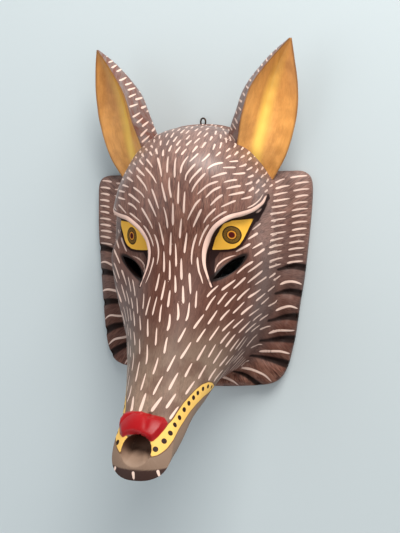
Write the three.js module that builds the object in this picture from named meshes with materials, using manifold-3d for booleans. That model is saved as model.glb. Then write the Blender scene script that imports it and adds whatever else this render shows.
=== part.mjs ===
// A wolf mask carved in wood, lying on its back.
// Millimetres: X across the face, Y up the face to the ears, Z from the flat back to the nose.
import * as THREE from 'three';
import { mergeVertices } from 'three/addons/utils/BufferGeometryUtils.js';
import Module from 'manifold-3d';

const wasm = await Module();
wasm.setup();

// Overall sizes of the carved head, measured without ruff and ears
const headWidth = 164;
const headHeight = 314;
const snoutReach = 212;

// Ruff, the flat fur collar behind the cheeks
const ruffWidth = 223;
const ruffHeight = 214;
const ruffRootThickness = 17;
const ruffEdgeThickness = 10;
const ruffFillet = 15;
const crownFlange = 1.2;
const edgeChamfer = 1.5;
const grooveWidth = 6;
const grooveDepth = 3;
const grooveArch = 1.5;

// Ears, each a carved piece glued to the skull
const earHeight = 126;
const jointGap = 0.3;

// Hollow for the wearer's face
const rimWall = 12;
const faceWall = 19;
const hollowDepthShare = 0.58;

// Eyes, brows, nose and mouth
const socketDepth = 9;
const eyeBulge = 2.6;
const browWidth = 5;
const browHeight = 1.8;
const slitLength = 34;
const slitWidth = 9.5;
const slitTilt = 40;
const noseBulge = 3.6;
const mouthWidth = 26;
const mouthHeight = 26;
const mouthDepth = 26;
const mouthTilt = 15;

// Wire loop that the mask hangs from
const wireDiameter = 1.8;
const loopRise = 9;
const loopWidth = 5;
const loopRoot = 8;
const loopOffBack = 5;
const wireClearance = 0.3;

// The carving is drawn for a head of this size and stretches with the sizes above
const drawn = { width: 164, height: 314, reach: 212, ruffWidth: 223, ruffHeight: 214, earHeight: 126 };
const stretchX = headWidth / drawn.width;
const stretchY = headHeight / drawn.height;
const stretchZ = snoutReach / drawn.reach;

// Loops round the head from the wall to the nose, each in a plane through its top and bottom point
const headLoops = [
  { top: [52, 0], chin: [-196, 0], half: 80, split: 0.52, bow: 0, round: [2.4, 2.4] },
  { top: [51, 28], chin: [-199, 16], half: 82, split: 0.52, bow: 2, round: [2.4, 2.4] },
  { top: [40, 66], chin: [-203, 34], half: 80, split: 0.54, bow: 6, round: [2.3, 2.2] },
  { top: [12, 99], chin: [-208, 54], half: 76, split: 0.58, bow: 16, round: [2.2, 2.0] },
  { top: [-28, 106], chin: [-213, 78], half: 69, split: 0.6, bow: 24, round: [2.2, 1.9] },
  { top: [-72, 101], chin: [-219, 104], half: 58, split: 0.6, bow: 26, round: [2.2, 1.9] },
  { top: [-119, 120], chin: [-228, 130], half: 45, split: 0.56, bow: 20, round: [2.2, 2.0] },
  { top: [-162, 146], chin: [-239, 156], half: 34, split: 0.5, bow: 13, round: [2.3, 2.1] },
  { top: [-196, 167], chin: [-253, 182], half: 28, split: 0.45, bow: 7, round: [2.4, 2.3] },
  { top: [-213, 178], chin: [-262, 206], half: 26, split: 0.45, bow: 3, round: [2.5, 2.4] },
];

// Halves of the ruff's outline, each from the top middle round to the bottom middle
const rightOutline = [
  [0, 5], [60, 5], [88, 5], [101, 4.6], [107.5, 1.5], [110.8, -5], [111.5, -16], [110.4, -35],
  [107.6, -64], [103.5, -99], [99.3, -124], [95.2, -152], [91.8, -169], [86.5, -188], [79, -200],
  [68, -205.5], [44, -208], [20, -209], [0, -209],
];
const leftOutline = [
  [0, 5], [60, 5], [88, 5], [100, 4.8], [107.5, 2], [111, -5], [111.5, -20], [111.5, -48],
  [109.5, -82], [107, -117], [104.4, -148], [101.5, -168], [95.5, -183], [86, -189.5], [74, -192],
  [55, -197], [36, -203], [18, -208], [0, -209],
];
const ruffHub = [0, -85];
const ruffTop = 5;

// Grooves between the ruff's locks, as the angles in degrees where each leaves the cheek and the edge
const rightGrooves = [[-5, -3], [-21, -17], [-38, -29], [-50, -39], [-59.5, -49], [-73, -64]];
const leftGrooves = [[5, 8], [-11, -5], [-28, -21.5], [-41, -34.5], [-52, -44], [-67, -57]];

// Lines on the face, drawn for the right half
const browLine = [
  [76, -24], [65, -39], [55, -42], [45, -45], [37, -51], [31, -60], [27, -70], [26, -80], [28, -91], [34, -107],
];
const eyeInnerCorner = [34, -74];
const eyeOuterCorner = [66, -46];
const eyeCentre = [50, -60];
const slitCentre = [47.5, -90];
const noseLobe = [10, -215, 187];
const noseLobeSize = [15, 13, 16];
const mouthCentre = [-2.5, -241.5, 208];

// Ear sections from inside the skull to the tip: both rims, the fold between them, the bulge and the back
const earSections = [
  { outer: [76, -6, 22], fold: [60, 8, 36], inner: [44, 10, 50], bulge: [30, 20, 34], back: [48, 4, 6] },
  { outer: [92, 21, 28], fold: [64, 27, 41], inner: [48, 28, 57], bulge: [37, 42, 41], back: [52, 28, 13] },
  { outer: [102, 55, 32], fold: [69, 53, 38], inner: [54, 50, 67], bulge: [44, 60, 44], back: [58, 54, 18] },
  { outer: [104, 83, 38], fold: [75, 78, 38], inner: [63, 79, 67], bulge: [54, 84, 45], back: [68, 82, 25] },
  { outer: [101.5, 108, 44], fold: [85, 104, 42], inner: [80, 105, 59], bulge: [76, 110, 46], back: [88, 108, 37] },
  { outer: [98.8, 127, 47], fold: [98, 126, 48], inner: [97, 126.5, 49], bulge: [96.4, 127, 47.5], back: [97.6, 127.2, 45.8] },
];
const earRoot = 20;

// Fineness of the faceted surfaces
const sides = 60;
const capRings = 4;
const headRings = 26;
const filletRings = 3;
const ruffRings = 3;
const hollowRings = 7;
const earRings = 11;
const browSteps = 16;
const headStart = 0.17;
const valleyAt = 0.1;

// Small helpers on numbers and points
const clamp01 = (v) => Math.min(1, Math.max(0, v));
const smooth = (a, b, v) => {
  const t = clamp01((v - a) / (b - a));
  return t * t * (3 - 2 * t);
};
const lerp = (a, b, t) => a.map((v, i) => v + (b[i] - v) * t);
const curveValue = (p0, p1, p2, p3, t) => 0.5 * (2 * p1 + (p2 - p0) * t
  + (2 * p0 - 5 * p1 + 4 * p2 - p3) * t * t + (3 * p1 - p0 - 3 * p2 + p3) * t * t * t);

// Smooth curve through evenly spaced rows of numbers, at u from 0 to 1
function through(rows, u) {
  const last = rows.length - 1;
  const x = clamp01(u) * last;
  const i = Math.min(Math.floor(x), last - 1);
  const p1 = rows[i];
  const p2 = rows[i + 1];
  const p0 = i > 0 ? rows[i - 1] : p1.map((v, k) => 2 * v - p2[k]);
  const p3 = i < last - 1 ? rows[i + 2] : p2.map((v, k) => 2 * v - p1[k]);
  return p1.map((v, k) => curveValue(p0[k], v, p2[k], p3[k], x - i));
}

const loopRows = headLoops.map((s) => [...s.top, ...s.chin, s.half, s.split, s.bow, ...s.round]);

// Point on the undetailed head: s runs from the wall to the nose, angle from the top of the loop
function headPoint(s, angle) {
  const [topY, topZ, chinY, chinZ, half, split, bow, roundTop, roundChin] = through(loopRows, s);
  const c = Math.cos(angle);
  const sn = Math.sin(angle);
  const power = 2 / (c > 0 ? roundTop : roundChin);
  const x = Math.sign(sn) * Math.abs(sn) ** power;
  const along = Math.abs(c) ** power;
  const midY = chinY + split * (topY - chinY);
  const midZ = chinZ + split * (topZ - chinZ);
  const endY = c > 0 ? topY : chinY;
  const endZ = c > 0 ? topZ : chinZ;
  const length = Math.hypot(topY - chinY, topZ - chinZ);
  const back = bow * x * x;
  const y = midY + (endY - midY) * along + (back * (topZ - chinZ)) / length;
  const z = midZ + (endZ - midZ) * along - (back * (topY - chinY)) / length;
  return [half * x, y, z];
}

// Distance from a point to a line of points in the face plane, with its side and its share of the way
function lineDistance(line, x, y) {
  let best = { distance: Infinity, side: 1, share: 0 };
  for (let i = 0; i < line.length - 1; i += 1) {
    const [ax, ay] = line[i];
    const dx = line[i + 1][0] - ax;
    const dy = line[i + 1][1] - ay;
    const t = clamp01(((x - ax) * dx + (y - ay) * dy) / (dx * dx + dy * dy));
    const distance = Math.hypot(x - ax - dx * t, y - ay - dy * t);
    if (distance < best.distance) {
      const side = Math.sign(dx * (y - ay) - dy * (x - ax)) || 1;
      best = { distance, side, share: (i + t) / (line.length - 1) };
    }
  }
  return best;
}

// How far the carving moves a point of the head along its normal, in drawn millimetres
function carving([px, y, z]) {
  const x = Math.abs(px);
  const brow = lineDistance(browLine, x, y);
  const eye = lineDistance([eyeInnerCorner, eyeOuterCorner], x, y);
  const under = brow.side * brow.distance;
  const socket = smooth(-4, 9, under) * (1 - smooth(10, 36, eye.distance)) * smooth(40, 60, z);
  const eyeball = Math.max(0, 1 - (Math.hypot(x - eyeCentre[0], y - eyeCentre[1]) / 18) ** 2);
  const lobe = Math.hypot(
    (x - noseLobe[0]) / noseLobeSize[0],
    (y - noseLobe[1]) / noseLobeSize[1],
    (z - noseLobe[2]) / noseLobeSize[2],
  );
  const nose = 1 - smooth(0.55, 1.05, lobe);
  return eyeBulge * eyeball - socketDepth * socket + noseBulge * nose;
}

function normalAt(surface, s, angle) {
  const step = 0.002;
  const along = new THREE.Vector3(...surface(Math.min(1, s + step), angle));
  along.sub(new THREE.Vector3(...surface(Math.max(0, s - step), angle)));
  const around = new THREE.Vector3(...surface(s, angle + step));
  around.sub(new THREE.Vector3(...surface(s, angle - step)));
  return along.cross(around).normalize();
}

// Angles round a loop, closer together over the face than under the jaw
function loopAngles() {
  return Array.from({ length: sides }, (_, j) => {
    const a = -Math.PI + ((j + 0.5) * 2 * Math.PI) / sides;
    return a - 0.12 * Math.sin(2 * a);
  });
}

const place = ([x, y, z]) => [x * stretchX, y * stretchY, z * stretchZ];

// Closed surface through rings of equally many points, with a fan at both ends
function skin(rings, startPoint, endPoint) {
  const n = rings[0].length;
  const points = [startPoint, ...rings.flat(), endPoint];
  const at = (k, j) => 1 + k * n + (j % n);
  const faces = [];
  for (let j = 0; j < n; j += 1) faces.push([0, at(0, j), at(0, j + 1)]);
  for (let k = 0; k < rings.length - 1; k += 1) {
    for (let j = 0; j < n; j += 1) {
      faces.push([at(k, j), at(k + 1, j), at(k + 1, j + 1)]);
      faces.push([at(k, j), at(k + 1, j + 1), at(k, j + 1)]);
    }
  }
  const last = rings.length - 1;
  for (let j = 0; j < n; j += 1) faces.push([points.length - 1, at(last, j + 1), at(last, j)]);
  return solid(points, faces);
}

// Manifold solid from points and faces, turned so that its faces point out
function solid(points, faces) {
  let volume = 0;
  for (const [a, b, c] of faces) {
    const normal = new THREE.Vector3(...points[b]).cross(new THREE.Vector3(...points[c]));
    volume += normal.dot(new THREE.Vector3(...points[a]));
  }
  const triVerts = new Uint32Array(faces.flatMap((f) => (volume < 0 ? [f[0], f[2], f[1]] : f)));
  const vertProperties = new Float32Array(points.flat());
  return new wasm.Manifold(new wasm.Mesh({ numProp: 3, vertProperties, triVerts }));
}

function solidOf(geometry) {
  const bare = geometry.index ? geometry.toNonIndexed() : geometry.clone();
  bare.deleteAttribute('normal');
  bare.deleteAttribute('uv');
  const merged = mergeVertices(bare, 1e-4);
  const vertProperties = new Float32Array(merged.attributes.position.array);
  const triVerts = new Uint32Array(merged.index.array);
  return new wasm.Manifold(new wasm.Mesh({ numProp: 3, vertProperties, triVerts }));
}

// The one real body left by a cut, without the slivers beside it
function mainBody(body) {
  return body.decompose().reduce((a, b) => (b.volume() > a.volume() ? b : a));
}

function meanPoint(ring) {
  return ring.reduce((sum, p) => sum.map((v, i) => v + p[i] / ring.length), [0, 0, 0]);
}

// Rings over the outside of head and ruff, from the muzzle's front to the flat back
function outsideRings(grow) {
  const angles = loopAngles();
  const rings = [];
  const detailed = (s, angle) => {
    const p = headPoint(s, angle);
    const n = normalAt(headPoint, s, angle);
    const lift = carving(p);
    return place([p[0] + n.x * lift, p[1] + n.y * lift, p[2] + n.z * lift]);
  };
  const front = angles.map((a) => headPoint(1, a));
  const middle = meanPoint(front);
  const last = headLoops[headLoops.length - 1];
  const out = new THREE.Vector3(0, last.chin[1] - last.top[1], last.top[0] - last.chin[0]).normalize();
  for (let k = 0; k < capRings; k += 1) {
    const r = Math.sin((((k + 0.4) / capRings) * Math.PI) / 2) ** 0.9;
    const dome = 9 * (1 - r ** 2.6);
    rings.push(front.map((p) => {
      const flat = lerp(middle, p, r);
      const q = [flat[0], flat[1] + out.y * dome, flat[2] + out.z * dome];
      const lift = carving(q);
      return place([q[0], q[1] + out.y * lift, q[2] + out.z * lift]);
    }));
  }
  for (let k = 0; k < headRings; k += 1) {
    const s = 1 - ((1 - headStart) * k) / (headRings - 1);
    rings.push(angles.map((a) => detailed(s, a)));
  }
  const top = rings[rings.length - 1];
  const root = angles.map((a) => place(headPoint(valleyAt, a)));
  const sections = root.map((p, j) => ruffSection(top[j], p));
  for (let k = 1; k <= filletRings; k += 1) rings.push(sections.map((f) => f.fillet(k / filletRings)));
  for (let k = 1; k <= ruffRings; k += 1) rings.push(sections.map((f) => f.plate(k / ruffRings)));
  rings.push(sections.map((f) => f.edge(0, -edgeChamfer)));
  rings.push(sections.map((f) => f.edge(0, edgeChamfer - ruffEdgeThickness)));
  rings.push(sections.map((f) => f.edge(-edgeChamfer, -ruffEdgeThickness)));
  const tip = place([middle[0], middle[1] + out.y * 9, middle[2] + out.z * 9]);
  if (grow === 0) return { rings, tip };
  const heart = place([0, -85, 30]);
  const away = (p) => {
    const d = new THREE.Vector3(p[0] - heart[0], p[1] - heart[1], p[2] - heart[2]).normalize();
    return [p[0] + d.x * grow, p[1] + d.y * grow, p[2] + d.z * grow];
  };
  return { rings: rings.map((ring) => ring.map(away)), tip: away(tip) };
}

// How far the ruff reaches from its hub in one direction
const ruffHalf = (outline) => Array.from({ length: 401 }, (_, i) => {
  const [x, y] = through(outline, i / 400);
  return [(x * ruffWidth) / drawn.ruffWidth, ruffTop + ((y - ruffTop) * ruffHeight) / drawn.ruffHeight];
});
const rightHalf = ruffHalf(rightOutline);
const leftHalf = ruffHalf(leftOutline);
function ruffReach(direction) {
  const hubY = ruffHub[1] * stretchY;
  const half = direction[0] < 0 ? leftHalf : rightHalf;
  const polar = half.map(([x, y]) => [Math.atan2(x, y - hubY), Math.hypot(x, y - hubY)]);
  const angle = Math.abs(Math.atan2(direction[0], direction[1]));
  const i = polar.findIndex((p) => p[0] >= angle);
  if (i < 1) return polar[i < 0 ? polar.length - 1 : 0][1];
  const t = (angle - polar[i - 1][0]) / (polar[i][0] - polar[i - 1][0]);
  return polar[i - 1][1] + (polar[i][1] - polar[i - 1][1]) * t;
}

// One radial section of the ruff, from the last ring of the head to the flat back
function ruffSection(start, root) {
  const hubY = ruffHub[1] * stretchY;
  const distance = Math.hypot(root[0], root[1] - hubY);
  const dir = [root[0] / distance, (root[1] - hubY) / distance];
  const reach = Math.max(distance + crownFlange + edgeChamfer, ruffReach(dir));
  const width = reach - distance;
  const bend = Math.min(ruffFillet, 0.55 * width);
  const valley = [root[0], root[1], ruffRootThickness];
  const out = (r, z) => [dir[0] * r, hubY + dir[1] * r, z];
  const bendEnd = out(distance + bend, ruffRootThickness);
  return {
    fillet: (t) => start.map((v, i) => (1 - t) ** 2 * v + 2 * t * (1 - t) * valley[i] + t * t * bendEnd[i]),
    plate: (t) => out(
      distance + bend + (width - bend - Math.min(edgeChamfer, width - bend)) * t,
      ruffRootThickness + (ruffEdgeThickness - ruffRootThickness) * t * t,
    ),
    edge: (inset, drop) => out(reach + inset, ruffEdgeThickness + drop),
  };
}

// Rings of the hollow, from the flat back up into the head
function hollowRingList() {
  return Array.from({ length: hollowRings }, (_, k) => {
    const s = (hollowDepthShare * k) / (hollowRings - 1);
    const wall = rimWall + (faceWall - rimWall) * smooth(0.12, 0.34, s);
    return loopAngles().map((a) => {
      const p = place(headPoint(s, a));
      const n = normalAt(headPoint, s, a);
      if (k === 0) {
        const flat = Math.hypot(n.x, n.y);
        return [p[0] - (n.x / flat) * wall, p[1] - (n.y / flat) * wall, 0];
      }
      return [p[0] - n.x * wall, p[1] - n.y * wall, p[2] - n.z * wall];
    });
  });
}

// Highest point of a surface of rings above a place in the face plane
function heightOver(rings, x, y) {
  const n = rings[0].length;
  let best = -Infinity;
  const test = (a, b, c) => {
    const area = (b[0] - a[0]) * (c[1] - a[1]) - (b[1] - a[1]) * (c[0] - a[0]);
    if (Math.abs(area) < 1e-9) return;
    const u = ((x - a[0]) * (c[1] - a[1]) - (y - a[1]) * (c[0] - a[0])) / area;
    const v = ((b[0] - a[0]) * (y - a[1]) - (b[1] - a[1]) * (x - a[0])) / area;
    if (u >= -1e-6 && v >= -1e-6 && u + v <= 1 + 1e-6) {
      best = Math.max(best, a[2] + u * (b[2] - a[2]) + v * (c[2] - a[2]));
    }
  };
  for (let k = 0; k < rings.length - 1; k += 1) {
    for (let j = 0; j < n; j += 1) {
      const a = rings[k][j];
      const b = rings[k + 1][j];
      const c = rings[k + 1][(j + 1) % n];
      const d = rings[k][(j + 1) % n];
      test(a, b, c);
      test(a, c, d);
    }
  }
  return best;
}

// Brow ridge of lens section laid on the surface along a line, tapering to both ends
function browRidge(rings, line) {
  const bar = [];
  const sunk = 3;
  const skirt = 0.4;
  for (let k = 0; k <= browSteps; k += 1) {
    const t = k / browSteps;
    const [x, y] = through(line, t);
    const [bx, by] = through(line, Math.max(0, t - 0.02));
    const [fx, fy] = through(line, Math.min(1, t + 0.02));
    const length = Math.hypot(fx - bx, fy - by);
    const side = [-(fy - by) / length, (fx - bx) / length];
    const taper = 0.3 + 0.7 * Math.sin(Math.PI * clamp01(0.08 + 0.84 * t));
    const w = (browWidth / 2) * taper;
    const z = heightOver(rings, x, y);
    const left = [x + side[0] * w, y + side[1] * w];
    const right = [x - side[0] * w, y - side[1] * w];
    bar.push([
      [...left, heightOver(rings, ...left) - skirt],
      [x, y, z + browHeight * taper],
      [...right, heightOver(rings, ...right) - skirt],
      [x, y, z - sunk],
    ]);
  }
  return skin(bar, meanPoint(bar[0]), meanPoint(bar[bar.length - 1]));
}

// V groove across the ruff between two directions from its hub
function ruffGroove(sideSign, [startDegrees, endDegrees]) {
  const hubY = ruffHub[1] * stretchY;
  const rows = [];
  const steps = 4;
  for (let k = 0; k <= steps; k += 1) {
    const t = k / steps;
    const arch = grooveArch * Math.sin(Math.PI * t);
    const angle = THREE.MathUtils.degToRad(startDegrees + (endDegrees - startDegrees) * t + arch);
    const dir = [Math.cos(angle), Math.sin(angle)];
    const end = ruffReach([sideSign * dir[0], dir[1]]) + 2;
    const start = cheekReach(dir) + 6;
    const r = start + (end - start) * t;
    const across = [-dir[1], dir[0]];
    const half = (grooveWidth / 2) * (0.55 + 0.45 * t);
    const z = ruffRootThickness + 1.5 + (ruffEdgeThickness - ruffRootThickness) * t * t;
    const deep = z - 1.5 - grooveDepth * (0.2 + 0.8 * Math.min(1, 2.5 * t));
    const point = (offset, height) => [
      sideSign * (dir[0] * r + across[0] * offset),
      hubY + dir[1] * r + across[1] * offset,
      height,
    ];
    rows.push([point(half, z), point(half, z + 4), point(-half, z + 4), point(-half, z), point(0, deep)]);
  }
  return skin(rows, meanPoint(rows[0]), meanPoint(rows[rows.length - 1]));
}

function cheekReach(dir) {
  const hubY = ruffHub[1] * stretchY;
  const steps = 180;
  let best = { gap: Infinity, reach: 0 };
  for (let k = 0; k < steps; k += 1) {
    const p = place(headPoint(valleyAt, (Math.PI * (k + 0.5)) / steps));
    const length = Math.hypot(p[0], p[1] - hubY);
    const gap = Math.abs(Math.atan2(p[1] - hubY, p[0]) - Math.atan2(dir[1], dir[0]));
    if (gap < best.gap) best = { gap, reach: length };
  }
  return best.reach;
}

// Lens-shaped sight slit through the wall below an eye
function sightSlit(sideSign) {
  const half = slitLength / 2;
    const shape = new THREE.Shape();
  shape.moveTo(-half, 0);
  shape.quadraticCurveTo(0, slitWidth, half, 0);
  shape.quadraticCurveTo(0, -slitWidth, -half, 0);
  const geometry = new THREE.ExtrudeGeometry(shape, { depth: snoutReach, curveSegments: 6, bevelEnabled: false });
  geometry.rotateZ(THREE.MathUtils.degToRad(sideSign * slitTilt));
  geometry.translate(sideSign * slitCentre[0] * stretchX, slitCentre[1] * stretchY, 2);
  return solidOf(geometry);
}

function mouthScoop() {
  const geometry = new THREE.SphereGeometry(1, 16, 10);
  geometry.rotateX(Math.PI / 2);
  geometry.scale(mouthWidth / 2, mouthHeight / 2, mouthDepth);
  geometry.rotateX(THREE.MathUtils.degToRad(mouthTilt));
  geometry.translate(...place(mouthCentre));
  return solidOf(geometry);
}

// Path of the wire: up out of the crown, round a small teardrop and back down
function wirePath(crownY) {
  const half = loopWidth / 2;
  return new THREE.CatmullRomCurve3([
    [-0.8 * wireDiameter, -loopRoot], [-0.8 * wireDiameter, -0.5 * loopRoot], [-0.8 * wireDiameter, 0],
    [-half, 0.45 * loopRise], [-half * 0.8, 0.85 * loopRise], [0, loopRise],
    [half * 0.8, 0.85 * loopRise], [half, 0.45 * loopRise], [0.8 * wireDiameter, 0],
    [0.8 * wireDiameter, -0.5 * loopRoot], [0.8 * wireDiameter, -loopRoot],
  ].map(([x, y]) => new THREE.Vector3(x, crownY + y, loopOffBack)));
}

function hangingWire(crownY, radius) {
  const section = new THREE.Shape();
  section.absarc(0, 0, radius, 0, 2 * Math.PI, false);
  const path = wirePath(crownY);
  return new THREE.ExtrudeGeometry(section, { steps: 26, curveSegments: 4, extrudePath: path, bevelEnabled: false });
}

// Ear: rims and fold in front, the bulge and back corner behind
function earSolid(sideSign) {
  const rings = [];
  const rows = earSections.map((s) => [...s.outer, ...s.fold, ...s.inner, ...s.bulge, ...s.back]);
  for (let k = 0; k <= earRings; k += 1) {
    const v = through(rows, k / earRings);
    const stretched = [0, 3, 6, 9, 12].map((i) => {
      const rise = v[i + 1] - earRoot;
      const y = rise > 0 ? earRoot + (rise * (earHeight - earRoot)) / (drawn.earHeight - earRoot) : v[i + 1];
      return [sideSign * v[i] * stretchX, y * stretchY, v[i + 2]];
    });
    rings.push(earRing(stretched));
  }
  return skin(rings, meanPoint(rings[0]), meanPoint(rings[rings.length - 1]));
}

function earRing([outer, fold, inner, bulge, back]) {
  const ring = [];
  const sag = (a, b, t) => lerp(a, b, t).map((v, i) => (i === 2 ? v - 2.2 * Math.sin(Math.PI * t) * earRim(a, b) : v));
  for (let i = 0; i < 4; i += 1) ring.push(sag(outer, fold, i / 4));
  for (let i = 0; i < 4; i += 1) ring.push(sag(fold, inner, i / 4));
  const rear = [inner, bulge, back, outer];
  const steps = 12;
  for (let i = 0; i < steps; i += 1) ring.push(through(rear, i / steps));
  return ring;
}

// Share of full hollowing, less where the section is small near the tip
function earRim(a, b) {
  return clamp01(Math.hypot(a[0] - b[0], a[1] - b[1], a[2] - b[2]) / 25);
}

// Put the pieces together
const { rings: outer, tip: outerTip } = outsideRings(0);
const hollow = hollowRingList();
let head = skin([...outer, ...hollow], outerTip, meanPoint(hollow[hollow.length - 1]));
for (const sideSign of [1, -1]) {
  const brow = browLine.map(([x, y]) => [sideSign * x * stretchX, y * stretchY]);
  head = head.add(browRidge(outer, brow));
  head = head.subtract(sightSlit(sideSign));
  const grooves = sideSign > 0 ? rightGrooves : leftGrooves;
  for (const groove of grooves) head = head.subtract(ruffGroove(sideSign, groove));
}
head = head.subtract(mouthScoop());
const crown = headPoint(0, 0)[1] * stretchY;
head = head.subtract(solidOf(hangingWire(crown, wireDiameter / 2 + wireClearance)));

const { rings: grown, tip: grownTip } = outsideRings(jointGap);
const earCutter = skin(grown, grownTip, [0, ruffHub[1] * stretchY, -jointGap]);

const paints = {
  fur: new THREE.MeshStandardMaterial({ color: 0x83726d, roughness: 0.42, metalness: 0 }),
  ear: new THREE.MeshStandardMaterial({ color: 0xc08d4a, roughness: 0.5, metalness: 0 }),
  wire: new THREE.MeshStandardMaterial({ color: 0x3c3833, roughness: 0.45, metalness: 0.9 }),
};

function meshOf(name, body, material) {
  const { vertProperties, triVerts } = body.getMesh();
  const geometry = new THREE.BufferGeometry();
  geometry.setAttribute('position', new THREE.BufferAttribute(new Float32Array(vertProperties), 3));
  geometry.setIndex(new THREE.BufferAttribute(new Uint32Array(triVerts), 1));
  geometry.computeVertexNormals();
  const mesh = new THREE.Mesh(geometry, material);
  mesh.name = name;
  return mesh;
}

const mask = new THREE.Group();
mask.add(meshOf('mask_body', mainBody(head), paints.fur));
mask.add(meshOf('ear_right', mainBody(earSolid(1).subtract(earCutter)), paints.ear));
mask.add(meshOf('ear_left', mainBody(earSolid(-1).subtract(earCutter)), paints.ear));
mask.add(meshOf('hanging_loop', solidOf(hangingWire(crown, wireDiameter / 2)), paints.wire));

// The origin is the middle of the bottom of the box round the whole mask
const box = new THREE.Box3().setFromObject(mask);
const centre = box.getCenter(new THREE.Vector3());
mask.position.set(-centre.x, -centre.y, -box.min.z);

export default mask;
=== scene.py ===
# Looks of the painted wooden wolf mask, lying on its back on a pale floor.
# Shapes are worked out in millimetres as drawn, then set down in the frame's metres.
import math

import bpy
import numpy as np
from mathutils import Matrix, Vector, kdtree


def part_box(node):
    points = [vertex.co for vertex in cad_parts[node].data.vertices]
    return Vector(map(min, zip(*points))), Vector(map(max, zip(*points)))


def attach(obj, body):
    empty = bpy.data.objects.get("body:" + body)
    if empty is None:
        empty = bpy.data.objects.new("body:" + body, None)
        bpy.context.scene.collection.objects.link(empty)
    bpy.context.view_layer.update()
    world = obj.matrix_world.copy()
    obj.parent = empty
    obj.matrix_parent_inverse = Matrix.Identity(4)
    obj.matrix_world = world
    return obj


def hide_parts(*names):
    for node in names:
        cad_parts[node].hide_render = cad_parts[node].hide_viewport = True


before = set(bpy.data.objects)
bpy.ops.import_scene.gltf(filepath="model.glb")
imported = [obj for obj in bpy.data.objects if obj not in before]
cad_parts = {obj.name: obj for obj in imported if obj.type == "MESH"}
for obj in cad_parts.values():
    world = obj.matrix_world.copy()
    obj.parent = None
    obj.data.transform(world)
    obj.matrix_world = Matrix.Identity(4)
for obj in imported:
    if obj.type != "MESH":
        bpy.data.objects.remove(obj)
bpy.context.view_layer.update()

# The carved head, as loops from its flat back to the nose:
# top y z, chin y z, half width, split of the loop, bow of its plane, roundness above and below
head = {
    "loops": [
        (52, 0, -196, 0, 80, .52, 0, 2.4, 2.4),
        (51, 28, -199, 16, 82, .52, 2, 2.4, 2.4),
        (40, 66, -203, 34, 80, .54, 6, 2.3, 2.2),
        (12, 99, -208, 54, 76, .58, 16, 2.2, 2.0),
        (-28, 106, -213, 78, 69, .60, 24, 2.2, 1.9),
        (-72, 101, -219, 104, 58, .60, 26, 2.2, 1.9),
        (-119, 120, -228, 130, 45, .56, 20, 2.2, 2.0),
        (-162, 146, -239, 156, 34, .50, 13, 2.3, 2.1),
        (-196, 167, -254.5, 182, 28, .45, 7, 2.4, 2.3),
        (-213, 178, -264.5, 206, 26, .45, 3, 2.5, 2.4),
    ],
    "lowest": -262,
    "dome": 9,
    "domeRound": 2.6,
    "start": .17,  # along the head, where the fillet to the ruff leaves it
    "valleyAt": .10,
    "sides": 320,
    "sidesAt": .35,
    "faceCloser": .22,
    "capRings": 32,
    "ringPlan": [(.17, 0), (.30, 22), (.62, 122), (.90, 166), (1.0, 184)],
    "hollowShare": .58,
    "hollowRings": 20,
    "rimWall": 12,
    "faceWall": 19,
    "wallGrows": (.12, .34),
    "gouge": (.22, 5, 18, 60),  # depth, seed, shortest and longest wave
    "hollowGouge": (.5, 9, 14, 40),
    "sharpFrom": 50,
}
ruff = {
    "rightOutline": [(0, 5), (60, 5), (88, 5), (101, 4.6), (107.5, 1.5), (110.8, -5), (111.5, -16), (110.4, -35),
                     (107.6, -64), (103.5, -99), (99.3, -124), (95.2, -152), (91.8, -169), (86.5, -188), (79, -200),
                     (68, -205.5), (44, -208), (20, -209), (0, -209)],
    "leftOutline": [(0, 5), (60, 5), (88, 5), (100, 4.8), (107.5, 2), (111, -5), (111.5, -20), (111.5, -48),
                    (109.5, -82), (107, -117), (104.4, -148), (101.5, -168), (95.5, -183), (86, -189.5), (74, -192),
                    (55, -197), (36, -203), (18, -208), (0, -209)],
    "hub": (0, -85),
    "root": 17,
    "edge": 10,
    "fillet": 15,
    "filletShare": .55,
    "flange": 1.2,
    "chamfer": 1.5,
    "rim": [(.45, 1, -.45), (0, 1, -1.5), (0, .5, 0), (0, 0, 1.5), (.45, 0, .45), (1.5, 0, 0), (5, 0, 0)],
    "filletRings": 9,
    "plateRings": 26,
    "rightGrooves": [(-5, -3), (-21, -17), (-38, -29), (-50, -39), (-59.5, -49), (-73, -64)],
    "leftGrooves": [(5, 8), (-11, -5), (-28, -21.5), (-41, -34.5), (-52, -44), (-67, -57)],
    "grooveArch": 1.5,
    "grooveWidth": 6,
    "grooveTaper": .42,
    "grooveDepth": 3.4,
    "grooveEdge": (-2.4, 1.2),
    "grooveStart": (.05, .3),
    "edgeDip": .8,
    "swell": 2.1,
    "swellEdge": (.5, 6),
    "swellFrom": (4, -8),
    "swellStart": (.05, .45),
    "topLock": (-4, 6),  # angle of the first lock on the right and on the left
    "gouge": (.18, 6, 12, 40),
}
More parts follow.
